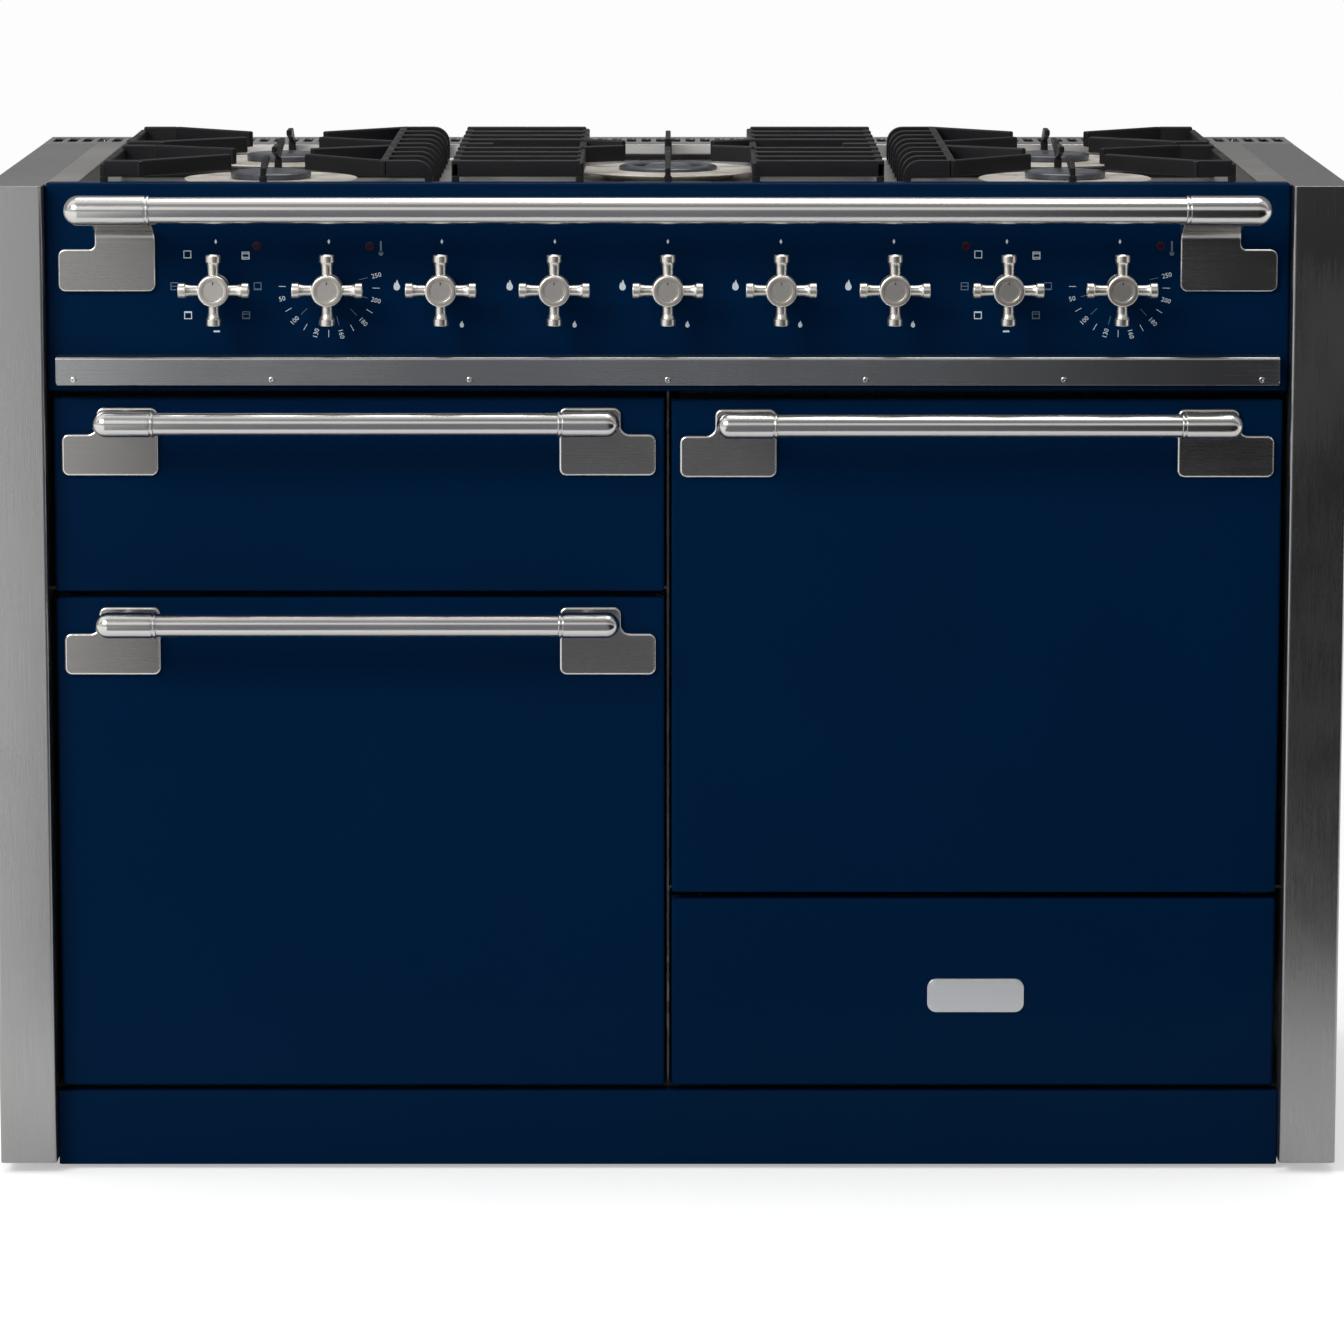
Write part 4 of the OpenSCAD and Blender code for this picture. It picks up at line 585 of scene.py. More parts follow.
FLECK_EDGE = 12.0
FLECK, f_in, f_out = effect("flecks", ("Per metre", (300.0, 300.0, 300.0)), ("Size", 0.2),
                            outputs=("Mask", "Tone"))
f_cells = node(FLECK, "ShaderNodeTexVoronoi", feature="F1")
f_cells.inputs["Scale"].default_value = 1.0
f_tone = node(FLECK, "ShaderNodeSeparateColor")
wire(FLECK, (scaled(FLECK, f_in, "Per metre"), f_cells.inputs["Vector"]),
     (f_cells.outputs["Color"], f_tone.inputs[0]))
f_edge = sum_up(FLECK, "SUBTRACT", f_in.outputs["Size"], f_cells.outputs["Distance"])
wire(FLECK, (sum_up(FLECK, "MULTIPLY", f_edge, FLECK_EDGE, clamp=True), f_out.inputs["Mask"]),
     (f_tone.outputs[0], f_out.inputs["Tone"]))
print("effects:", [tree.name for tree in (GRAIN, CLOUD, PITS, FLECK)])


# %% Finish helper
def shade(color, share):
    """A colour made darker, or lighter with a share above 1."""
    return tuple(c * share for c in color)


class Finish:
    """A material with one Principled shader, whose colour, roughness and bump are built up in layers."""

    def __init__(self, name, color, roughness, metallic=0.0, **plain):
        self.material = bpy.data.materials.new(name)
        self.material.use_nodes = True
        self.tree = self.material.node_tree
        self.shader = self.tree.nodes["Principled BSDF"]
        self.color = (*color, 1.0)
        settle(self.shader, Base_Color=self.color, Roughness=roughness, Metallic=metallic, **plain)
        self.place = node(self.tree, "ShaderNodeTexCoord").outputs["Object"]
        self.last_bump = None

    def effect(self, group, output=0, **values):
        """An effect group on this material. A plain number sets all three values of a vector input."""
        made = node(self.tree, "ShaderNodeGroup", node_tree=group)
        wire(self.tree, (self.place, made.inputs["Place"]))
        for key, value in values.items():
            slot = made.inputs[key.replace("_", " ")]
            slot.default_value = (value,) * 3 if slot.type == "VECTOR" and isinstance(value, float) else value
        return made.outputs[output]

    def tint(self, mask, other, share=1.0):
        """Mixes another colour in where the mask is high."""
        mix = node(self.tree, "ShaderNodeMix", data_type="RGBA")
        slot = self.shader.inputs["Base Color"]
        if slot.is_linked:
            wire(self.tree, (slot.links[0].from_socket, mix.inputs[6]))
        else:
            mix.inputs[6].default_value = self.color
        mix.inputs[7].default_value = (*other, 1.0)
        wire(self.tree, (sum_up(self.tree, "MULTIPLY", mask, share), mix.inputs[0]), (mix.outputs[2], slot))
        return self

    def roughen(self, mask, low, high):
        """Lets the roughness follow a mask, from low to high."""
        wire(self.tree, (remap(self.tree, mask, 0, 1, low, high, False), self.shader.inputs["Roughness"]))
        return self

    def bump(self, height, distance, strength=1.0):
        """Adds a bump on top of the ones before it. The distance is in metres."""
        made = node(self.tree, "ShaderNodeBump")
        settle(made, Strength=strength, Distance=distance)
        wire(self.tree, (height, made.inputs["Height"]))
        if self.last_bump:
            wire(self.tree, (self.last_bump, made.inputs["Normal"]))
        self.last_bump = made.outputs[0]
        wire(self.tree, (self.last_bump, self.shader.inputs["Normal"]))
        return self


# %% [markdown]
# ## Finishes
# The cabinet has three steels: vertical grain on the side panels, grain from left to right on the
# hob and the brackets, and polished tubes. Each is one noise drawn out along the grain, which gives
# the streaks their colour, gloss and depth at once. The fronts are deep blue vitreous enamel, which
# is smooth glass with a faint orange peel. The grates are matt cast iron with a fine tooth.


# %% Steel finishes
def steel(name, tone, roughness, lines, grain=0.05, spread=0.1, rim=None):
    """Brushed or polished metal. Where a rim colour is given, it is painted as a highlight on faces marked as rim.
    """
    made = Finish(name, tone, roughness, 1.0)
    streak = made.effect(GRAIN, Lines_per_metre=lines)
    cloud = made.effect(CLOUD, Per_metre=5.0)
    made.tint(streak, shade(tone, 0.8), 0.5).tint(cloud, shade(tone, 0.93), 0.6)
    mixed = sum_up(made.tree, "MULTIPLY", sum_up(made.tree, "ADD", streak, cloud), 0.5)
    made.roughen(mixed, roughness - spread, roughness + spread)
    made.bump(streak, grain * MM, 0.35)
    # The paler rim colour is a painted highlight on the rim faces.
    if rim:
        made.tint(node(made.tree, "ShaderNodeAttribute", attribute_name="rim").outputs["Fac"], rim)
    return made.material


panel_steel = steel("brushed_panel_steel", (0.47, 0.47, 0.465), 0.27, (1500.0, 1500.0, 14.0), spread=0.07)
hob_steel = steel("brushed_hob_steel", (0.56, 0.55, 0.53), 0.34, (14.0, 1400.0, 1400.0))
# The bracket plates' rim colour is a painted highlight along their rounded rims.
bracket_steel = steel("satin_bracket_steel", (0.44, 0.43, 0.41), 0.26, (16.0, 1500.0, 1500.0), spread=0.06,
                      rim=(0.92, 0.91, 0.88))
polished = steel("polished_tube_steel", (0.80, 0.79, 0.77), 0.2, (10.0, 900.0, 900.0), 0.01, 0.04)
knob_satin = steel("satin_knob_metal", (0.90, 0.86, 0.79), 0.34, 260.0, 0.006, 0.05)
trim_steel = steel("trim_steel", (0.50, 0.51, 0.51), 0.26, (10.0, 1300.0, 1300.0), 0.015, 0.06)
plate_metal = steel("pale_plate_metal", (0.93, 0.94, 0.96), 0.34, (12.0, 900.0, 900.0), 0.01, 0.05)
bright_wire = steel("plated_wire", (0.72, 0.72, 0.72), 0.2, 300.0, 0.01, 0.05)
dull_steel = steel("dull_plated_steel", (0.50, 0.51, 0.51), 0.42, 120.0, 0.02, 0.08)
print("materials so far:", len(bpy.data.materials))


# %% Enamel finishes
def enamel(name, color, roughness=0.2, gloss=0.02, peel=0.02):
    """Glass on steel: faint clouds in its colour and gloss, and a fine orange peel."""
    made = Finish(name, color, roughness, Specular_IOR_Level=gloss)
    made.tint(made.effect(CLOUD, Per_metre=2.2), shade(color, 0.86), 0.7)
    made.roughen(made.effect(CLOUD, Per_metre=9.0), roughness * 0.75, roughness * 1.35)
    made.bump(made.effect(PITS, Per_metre=160.0), peel * MM, 0.5)
    return made


NAVY = (0.0001, 0.0121, 0.0435)
navy_enamel = enamel("deep_blue_enamel", NAVY).material
oven = enamel("speckled_oven_enamel", (0.012, 0.013, 0.016), 0.22, 0.45, 0.03)
oven_enamel = oven.tint(oven.effect(FLECK, "Mask", Per_metre=420.0, Size=0.16), (0.35, 0.37, 0.42), 0.8).material
dish = enamel("pale_burner_enamel", (0.66, 0.62, 0.56), 0.3, 0.5)
dish_enamel = dish.tint(dish.effect(CLOUD, Per_metre=40.0), (0.50, 0.45, 0.37), 0.5).material
print("enamels:", [m.name for m in (navy_enamel, oven_enamel, dish_enamel)])


# %% Castings
def casting(name, color, roughness, metallic, pits=0.12, per_metre=700.0, gloss=0.4):
    """Cast or moulded skin with a fine tooth."""
    made = Finish(name, color, roughness, metallic, Specular_IOR_Level=gloss)
    tooth = made.effect(PITS, Per_metre=per_metre)
    cloud = made.effect(CLOUD, Per_metre=24.0)
    made.tint(tooth, shade(color, 1.5), 0.5).tint(cloud, shade(color, 0.75), 0.6)
    made.roughen(cloud, roughness - 0.08, roughness + 0.1)
    made.bump(tooth, pits * MM, 0.6)
    return made.material


grate_iron = casting("matt_cast_iron", (0.0075, 0.0070, 0.0088), 0.42, 0.0, gloss=0.26)
cap_iron = casting("burner_cap_enamel", (0.045, 0.050, 0.064), 0.28, 0.0, 0.02, gloss=0.6)
crown_brass = casting("warm_brass", (0.16, 0.075, 0.06), 0.42, 1.0, 0.04)
alloy = casting("cast_alloy", (0.60, 0.59, 0.57), 0.4, 1.0, 0.05)
moulded = casting("moulded_black_plastic", (0.02, 0.02, 0.022), 0.5, 0.0, 0.04, 1200.0)
element_metal = casting("dark_heater_sheath", (0.10, 0.10, 0.095), 0.45, 0.9, 0.03, 300.0)

# %% Zinc, oven seal, dial ink and lamp lens
zinc = Finish("galvanised_sheet", (0.46, 0.48, 0.49), 0.42, 0.85)
spangle = zinc.effect(FLECK, "Tone", Per_metre=70.0, Size=0.5)
zinc.tint(spangle, (0.60, 0.62, 0.63), 0.7).roughen(spangle, 0.34, 0.55)
zinc_sheet = zinc.bump(zinc.effect(PITS, Per_metre=400.0), 0.01 * MM, 0.4).material

rope = Finish("woven_oven_seal", (0.11, 0.11, 0.10), 0.85)
braid = rope.effect(FLECK, "Mask", Per_metre=520.0, Size=0.45)
seal_rope = rope.tint(braid, (0.22, 0.21, 0.19), 0.7).bump(braid, 0.4 * MM, 0.8).material


def ink(name, color, worn):
    """Printed ink with fine worn specks."""
    made = Finish(name, color, 0.55)
    return made.tint(made.effect(PITS, Per_metre=900.0), worn, 0.4).material


dial_ink = ink("pale_dial_ink", (0.60, 0.66, 0.72), (0.42, 0.48, 0.55))
faint_ink = ink("faint_dial_ink", (0.10, 0.15, 0.21), (0.07, 0.11, 0.16))
lens = Finish("red_lamp_lens", (0.030, 0.0015, 0.012), 0.3, Specular_IOR_Level=0.15)
lamp_lens = lens.bump(lens.effect(GRAIN, Lines_per_metre=(1400.0, 10.0, 10.0)), 0.15 * MM, 0.7).material
print("finishes:", len(bpy.data.materials))

# %% [markdown]
# ## Side panels
# Each side panel is one sheet folded round the cabinet's side: a broad front face, the side, and a
# narrow leaf behind. A box would lose the fold's soft corner, so the fold is drawn in plan with round
# corners and raised, and a cap closes it above and below.


# %% Side panels
SHEET = 1.5
FRONT_LEAF, BACK_LEAF, FOLD_R = 72.0, 40.0, 3.0


def side_panel(word):
    """A panel is drawn on the right, and flipped for the left."""
    low, high = low_mm("side_panel_right"), high_mm("side_panel_right")
    inner, outer = low.x, high.x
    plan = [(inner, low.y + FRONT_LEAF), (inner, low.y), (outer, low.y), (outer, high.y), (inner, high.y),
            (inner, high.y - BACK_LEAF), (inner + SHEET, high.y - BACK_LEAF), (inner + SHEET, high.y - SHEET),
            (outer - SHEET, high.y - SHEET), (outer - SHEET, low.y + SHEET), (inner + SHEET, low.y + SHEET),
            (inner + SHEET, low.y + FRONT_LEAF)]
    bm = bmesh.new()
    prism(bm, rounded(plan, [0] + [FOLD_R] * 4 + [0, 0] + [SHEET] * 4 + [0]), xy, low.z + 1.0, high.z - 2.0)
    prism(bm, rectangle((inner, low.y), (outer, high.y), FOLD_R), xy, low.z, low.z + SHEET, 0.5)
    cap_end = low_mm("rear_vent").y - 0.3
    cap = [(inner, low.y), (outer, low.y), (outer, cap_end), (inner, cap_end)]
    prism(bm, rounded(cap, [FOLD_R, FOLD_R, 0.4, 0.4]), xy, high.z - 2.2, high.z, 0.9, 3)
    if word == "left":
        flip(bm, bm.faces[:], bm.verts)
    piece(f"side_sheet_{word}", bm, "cabinet", panel_steel, [f"side_panel_{word}"])


side_panel("left")
side_panel("right")

# %% [markdown]
# ## Enamelled fronts
# The fascia, the doors, the drawer fronts and the plinth are pressed steel pans with a soft edge,
# glazed deep blue. A closed box would look the same from the front, but an open door would show
# that it is solid. So each is a box with rounded edges, cut open behind, with the thickness of its
# sheet. The fixed hinge arms pass through slots in the oven doors' lower edge, which are cut out.


# %% Enamelled fronts
ARM_INSET, ARM_SLOT, SLOT_TALL, LIP = 48.0, 8.0, 6.0, 2.0


def pressed_front(name, node_name, body, r=3.0, slots=()):
    """A pan over a node's box, open behind. The slots are places across, cut in its lower edge."""
    low, high = low_mm(node_name), high_mm(node_name)
    bm = bmesh.new()
    soft_box(bm, low, (high.x, high.y + 10, high.z), r, 4)
    slice_at(bm, "y", high.y, drop_past=True)
    for x in slots:
        slice_at(bm, "x", x - ARM_SLOT / 2)
        slice_at(bm, "x", x + ARM_SLOT / 2)
    if slots:
        slice_at(bm, "y", low.y + LIP)
        middles = {face: face.calc_center_median() / MM for face in bm.faces}
        gone = [face for face, at in middles.items() if at.z < low.z + SLOT_TALL and at.y > low.y + LIP
                and any(abs(at.x - x) < ARM_SLOT / 2 for x in slots)]
        bmesh.ops.delete(bm, geom=gone, context="FACES")
    thicken(piece(name, bm, body, navy_enamel, [node_name]), SHEET)


def hinge_slots(prefix):
    """The slots follow the hinge arms, which stand at the same distance from both side edges."""
    return low_mm(f"{prefix}_door_panel").x + ARM_INSET, high_mm(f"{prefix}_door_panel").x - ARM_INSET


pressed_front("fascia_pan", "fascia", "cabinet", 4.0)
pressed_front("plinth_pan", "plinth", "cabinet", 1.5)
pressed_front("left_door_pan", "left_door_panel", "left_door", slots=hinge_slots("left"))
pressed_front("right_door_pan", "right_door_panel", "right_door", slots=hinge_slots("right"))
pressed_front("grill_pan_front", "grill_front", "grill_drawer")
pressed_front("storage_pan_front", "storage_front", "storage_drawer")

# %% [markdown]
# ## Trim under the fascia
# A bright folded strip keeps spills off the doors. Its section is a rounded hook, drawn once from the
# side and pulled along the width. Seven small screw heads hold it.

# %% Trim strip and its screws
TRIM_SHEET = 1.2
low, high = low_mm("fascia_trim"), high_mm("fascia_trim")
bm = bmesh.new()
section = [(low.y, low.z), (low.y, high.z), (high.y, high.z), (high.y, high.z - TRIM_SHEET),
           (low.y + TRIM_SHEET, high.z - TRIM_SHEET), (low.y + TRIM_SHEET, low.z)]
prism(bm, rounded(section, [0.5, 3.0, 0, 0, 2.0, 0.5]), yz, low.x + 1.0, high.x - 1.0)
for x in (low.x, high.x - TRIM_SHEET):
    end = rounded([(low.y, low.z), (high.y, low.z), (high.y, high.z), (low.y, high.z)], [5.0, 0, 0, 3.0])
    prism(bm, end, yz, x, x + TRIM_SHEET, 0.4)
piece("trim_strip", bm, "cabinet", trim_steel, ["fascia_trim"])

SCREWS, HEAD_R, SHANK_R, SHANK_L = 7, 2.7, 1.4, 18
low, high = low_mm("trim_screws"), high_mm("trim_screws")
pitch = (high.x - low.x - 2 * HEAD_R) / (SCREWS - 1)
head = bmesh.new()
turned(head, [(0.55, 0), (0.55, 0.7), (0.05, 0.9), (0, 1.2), (0, 2.0), (0.3, 2.5), (0.7, HEAD_R), (1.1, HEAD_R),
              (1.1, SHANK_R), (SHANK_L, SHANK_R), (SHANK_L, 0)],
       "y", (low.x + HEAD_R, low.y, middle_mm("trim_screws").z), 20)
screws = repeated(head, ROW, polished, Count=SCREWS, Step=vec(pitch, 0, 0))
piece("trim_screw_heads", screws, "cabinet", polished, ["trim_screws"])
print("trim screws", SCREWS, "pitch", round(pitch, 1), "mm")

# %% [markdown]
# ## Rails and handles
# The long rail and the three handles are polished tubes. On each end sits a slightly thicker turned
# cap with a bead, a groove and a domed end. They are turned bodies, so their highlights stay straight.


# %% Rails
def end_cap_profile(r, length, tube_r):
    """From inside the tube: a bead, a groove, a plain length and a round end."""
    dome = arc(length - r, 0, r, 90, 0, 12)
    return ([(-9, 0), (-9, tube_r - 2), (0, tube_r - 2), (0, r - 0.6)] + arc(0.7, r - 0.7, 0.7, 180, 90, 3)
            + [(2.0, r)] + arc(2.0, r - 0.5, 0.5, 90, 0, 2) + [(2.6, r - 1.2), (3.6, r - 1.2)]
            + arc(4.3, r - 0.6, 0.6, 180, 90, 3) + [(6, r)] + dome[:-1] + [(length, 0)])


def rail(name, node_name, body, half, cap_length, tube_r):
    """A tube as long as twice half, with a cap on each end."""
    middle = middle_mm(node_name)
    cap_r = tube_r + CAP_STEP
    end, bore = half - 0.3, tube_r - TUBE_WALL
    bm = bmesh.new()
    turned(bm, [(-end, tube_r), (end, tube_r), (end, bore), (-end, bore)], "x", middle, 72)
    for axis, sign in (("x", 1), ("-x", -1)):
        centre = middle + Vector((sign * half, 0, 0))
        turned(bm, end_cap_profile(cap_r, cap_length, tube_r), axis, centre, 72)
    piece(name, bm, body, polished, [node_name])


TUBE_WALL, CAP_STEP = 1.5, 1.25
RAIL_HALF, RAIL_CAP, RAIL_R = 458.0, 76.0, 12.0
HANDLE_HALF, HANDLE_CAP, HANDLE_R = 179.9, 54.5, 10.5
rail("front_rail", "top_rail", "cabinet", RAIL_HALF, RAIL_CAP, RAIL_R)
for name, node_name, body in (("left_door_rail", "left_handle", "left_door"),
                              ("right_door_rail", "right_handle", "right_door"),
                              ("grill_rail", "grill_handle", "grill_drawer")):
    rail(name, node_name, body, HANDLE_HALF, HANDLE_CAP, HANDLE_R)

# %% [markdown]
# ## Brackets
# The handles stand on flat satin plates with a step in their outline. The rim is rounded, and a paler
# metal colour is painted on its faces as a highlight, the pale line that the photograph shows. So each
# plate is a prism with its rim rounded and marked for that painted highlight. The long rail's plate is cut
# flat with a long neck, and the neck is then folded forward to the tube, as it is in the shop.

# %% Bracket plates
PLATE, PLATE_RIM = 5.0, 2.1
BRACKET_W, BRACKET_H, BRACKET_R = 87.0, 38.0, 6.5
RIM_FACING = 0.98


def bracket_plate(inner_x, foot_z, back_y, neck, tall, radii):
    """A stepped plate on the right side. Its rounded rim is marked, so that a painted highlight can be put on it.
    """
    points = [(0, 0), (BRACKET_W, 0), (BRACKET_W, BRACKET_H), (neck, BRACKET_H), (neck, tall), (0, tall)]
    bm = bmesh.new()
    prism(bm, [(u + inner_x, v + foot_z) for u, v in rounded(points, radii, 7)], xz, back_y - PLATE, back_y,
          PLATE_RIM, 3)
    bm.normal_update()
    # The rim faces are marked here to carry a painted highlight.
    rim = bm.faces.layers.float.new("rim")
    for face in bm.faces:
        face[rim] = 1.0 if abs(face.normal.y) < RIM_FACING else 0.0
    return bm


# %% Brackets of the handles
HANDLE_NECK, NECK_FILLET, POST_R = 55.5, 8.0, 7.5


def handle_brackets(name, node_name, body):
    """Two plates, each with a turned post that reaches into the middle of its handle's cap."""
    low, high = low_mm(node_name), high_mm(node_name)
    tube = middle_mm(node_name.replace("_brackets", ""))
    radii = [BRACKET_R, BRACKET_R, BRACKET_R, NECK_FILLET, BRACKET_R, BRACKET_R]
    bm = bracket_plate(HANDLE_HALF, low.z, high.y, HANDLE_NECK, high.z - low.z, radii)
    reach = high.y - PLATE - tube.y
    post = [(8.5, 0), (8.5, POST_R), (reach - 9.0, POST_R), (reach - 5.0, 6.6), (reach - 2.0, 6.2),
            (reach + 1.5, 6.2), (reach + 1.5, 0)]
    turned(bm, post, "y", (HANDLE_HALF + HANDLE_CAP / 2, tube.y, tube.z), 40)
    mirrored(bm)
    bmesh.ops.translate(bm, vec=vec(middle_mm(node_name).x, 0, 0), verts=bm.verts)
    piece(name, bm, body, bracket_steel, [node_name])


handle_brackets("left_door_brackets", "left_handle_brackets", "left_door")
handle_brackets("right_door_brackets", "right_handle_brackets", "right_door")
handle_brackets("grill_brackets", "grill_handle_brackets", "grill_drawer")

# %% Brackets of the long rail
LONG_NECK, NECK_RISE, BEND_R, FOLDS, SHORT_OF_TUBE = 54.0, 6.0, 14.0, 10, 11.5
foot_z, back_y = low_mm("top_rail_brackets").z, high_mm("top_rail_brackets").y
middle_y = back_y - PLATE / 2
bend = Vector((middle_y - BEND_R, foot_z + BRACKET_H + NECK_RISE))
reach = middle_mm("top_rail").yz - bend
turn = math.atan2(reach.y, reach.x) - math.acos(BEND_R / reach.length)
run = math.sqrt(reach.length ** 2 - BEND_R ** 2) - SHORT_OF_TUBE
flat = BRACKET_H + NECK_RISE + BEND_R * turn + run
bm = bracket_plate(RAIL_HALF, foot_z, back_y, LONG_NECK, flat, [BRACKET_R] * 3 + [5.0, 1.5, 1.5])
for k in range(FOLDS + 1):
    slice_at(bm, "z", bend.y + BEND_R * turn * k / FOLDS)
for v in bm.verts:
    along = v.co.z / MM - bend.y
    if along > 0:
        angle = min(along / BEND_R, turn)
        out = Vector((math.cos(angle), math.sin(angle))) * (BEND_R + v.co.y / MM - middle_y)
        past = Vector((-math.sin(angle), math.cos(angle))) * max(along - BEND_R * turn, 0)
        v.co.y, v.co.z = (bend + out + past) * MM
mirrored(bm)
piece("front_rail_brackets", bm, "cabinet", bracket_steel, ["top_rail_brackets"])
print("neck turns", round(math.degrees(turn)), "degrees, flat length", round(flat), "mm")

# %% [markdown]
# ## Knobs
# Each knob is a cross: a turned hub with a ring groove and four arms that flare to a collar. The hub
# and the arms are turned bodies that run into each other. A Boolean could weld them, but it leaves
# ragged faces at the seams, which polished metal would show. A small dark line marks the pointer.

# %% Knob profiles
HUB_R, HUB_L, HUB_SOFT = 14.25, 18.0, 2.0
ARM_REACH, ARM_ROOT, ARM_TIP, COLLAR = 31.5, 4.75, 6.75, 6.5
KNOBS = ["knob_left_function", "knob_left_temperature", *(f"knob_gas_{i}" for i in range(1, 6)),
         "knob_right_function", "knob_right_temperature"]
tip_y = low_mm("knob_gas_1").y
skirt = high_mm("knob_gas_1").y - tip_y


def arm_profile():
    """A straight neck that flares to a collar with a hollow end."""
    flare = ARM_REACH - COLLAR
    neck = [(14, ARM_ROOT), (flare - 5, ARM_ROOT + 0.1), (flare - 3.2, ARM_ROOT + 0.35),
            (flare - 1.6, ARM_ROOT + 0.75), (flare - 0.4, ARM_ROOT + 1.2), (flare, ARM_TIP - 0.4),
            (flare + 0.5, ARM_TIP)]
    return ([(0, 0), (0, ARM_ROOT)] + neck + arc(ARM_REACH - 0.9, ARM_TIP - 0.9, 0.9, 90, 0, 4)
            + [(ARM_REACH, ARM_TIP - 2.2), (ARM_REACH - 0.6, ARM_TIP - 2.8), (ARM_REACH - 0.6, 0)])


def hub_profile():
    """From the front: a cap, a ring groove, a round rim, the barrel and a skirt on the fascia."""
    return ([(0.8, 0), (0.8, 8.0), (1.7, 8.5), (1.7, 9.3), (0.1, 9.9), (0, 10.6), (0, HUB_R - 2.4)]
            + arc(HUB_SOFT, HUB_R - HUB_SOFT, HUB_SOFT, 180, 90, 5)
            + arc(HUB_L - HUB_SOFT, HUB_R - HUB_SOFT, HUB_SOFT, 90, 0, 5)
            + [(HUB_L, 8.6), (HUB_L + 9, 8.5), (HUB_L + 14, 8.8), (skirt - 3.2, 10.2), (skirt - 2.8, 12.0),
               (skirt, 12.0), (skirt, 0)])


# %% Knobs
SHAFT_FROM, SHAFT_R = 30, 4
POINTER_HALF, POINTER_LOW, POINTER_TOP = 0.45, 5.8, 8.0
for name in KNOBS:
    middle = middle_mm(name)
    bm, arm, mark = bmesh.new(), bmesh.new(), bmesh.new()
    turned(bm, hub_profile(), "y", (middle.x, tip_y, middle.z), 48)
    turned(arm, arm_profile(), "z", (0, 0, 0), 28)
    arms = repeated(arm, RING, knob_satin, Count=4, Centre=vec(middle.x, tip_y + HUB_L / 2, middle.z),
                    Axis=Vector((0, 1, 0)), Turn=math.pi / 2)
    if "gas" not in name:
        rear = high_mm(name).y - tip_y
        turned(bm, [(SHAFT_FROM, 0), (SHAFT_FROM, SHAFT_R), (rear, SHAFT_R), (rear, 0)], "y",
               (middle.x, tip_y, middle.z), 24)
    body = name.replace("knob_", "") + "_knob"
    piece(name + "_cross", joined(bm, arms), body, knob_satin, [name])
    soft_box(mark, (middle.x - POINTER_HALF, tip_y - 0.05, middle.z + POINTER_LOW),
             (middle.x + POINTER_HALF, tip_y + 0.9, middle.z + POINTER_TOP), 0.1)
    piece(name + "_pointer", mark, body, moulded)
print("knobs", len(KNOBS), "tip at", round(tip_y, 1), "mm")

# %% [markdown]
# ## Marks and lamps
# The dials are printed on the enamel: a dot for off, a large and a small flame by each gas knob, the
# functions of the ovens, and a fan of ticks with degrees. A picture would blur close up, so the ink
# is a set of flat shapes that stand a tenth of a millimetre proud. A red neon lamp sits above and
# beside each of the oven knobs.

# %% Stamps
INK = 0.12
fascia_face = low_mm("fascia").y
knob_at = {name: middle_mm(name).xz for name in KNOBS}


def stamp(bm, outline, at, turn=0.0, size=1.0):
    """Prints an outline in mm on the fascia at (x, z), turned by degrees."""
    c, s = math.cos(math.radians(turn)) * size, math.sin(math.radians(turn)) * size
    prism(bm, [(at[0] + c * u - s * v, at[1] + s * u + c * v) for u, v in outline], xz,
          fascia_face - INK, fascia_face + 0.05)


def around(at, degrees, radius):
    """The place at a radius from another, in a direction in degrees."""
    return Vector(at) + Vector((math.cos(math.radians(degrees)), math.sin(math.radians(degrees)))) * radius


def bar_outline(w, h):
    """A bar about the middle."""
    return [(-w / 2, -h / 2), (w / 2, -h / 2), (w / 2, h / 2), (-w / 2, h / 2)]


# %% Dial marks
FLAME = [(0, -5), (1.9, -4.4), (3.0, -2.6), (2.9, -0.6), (1.9, 1.3), (1.1, 3.2), (0.4, 5.2), (-0.5, 3.4),
         (-0.9, 1.9), (-1.7, 2.7), (-2.4, 1.2), (-3.0, -0.9), (-2.9, -2.9), (-1.8, -4.5)]
OFF_DOT = [(0, -2.3), (1.25, 0), (0, 2.3), (-1.25, 0)]
ICON, LINE, TICK_W = 6.2, 0.75, 0.5
TICKS, TICK_FROM, TICK_STEP = 14, 179.6, 14.9
bright_marks, faint_marks = bmesh.new(), bmesh.new()
ICONS = [(bright_marks, -25.5, 29, ()), (faint_marks, -37.5, 0.5, (0,)), (bright_marks, -25.5, -25.5, (2.4,)),
         (bright_marks, 26.5, 28, (-1.6, 1.6)), (faint_marks, 37.0, 0.5, (-2.4,)),
         (faint_marks, 26.5, -25.5, (1, -2.6))]


def function_icon(bm, at, bars):
    """An open square with inner bars, as used for oven functions."""
    for u in (-ICON / 2, ICON / 2):
        stamp(bm, [(x + u, z) for x, z in bar_outline(LINE, ICON + LINE)], at)
    for v in (-ICON / 2, ICON / 2, *bars):
        stamp(bm, [(x, z + v) for x, z in bar_outline(ICON - LINE, LINE)], at)


def thermometer(bm, at):
    """A stem with a bulb below it."""
    stamp(bm, rounded(bar_outline(1.6, 11), 0.7, 4), at)
    stamp(bm, [around((0, 0), 22.5 * k, 2.1) for k in range(16)], at - Vector((0, 5.6)))


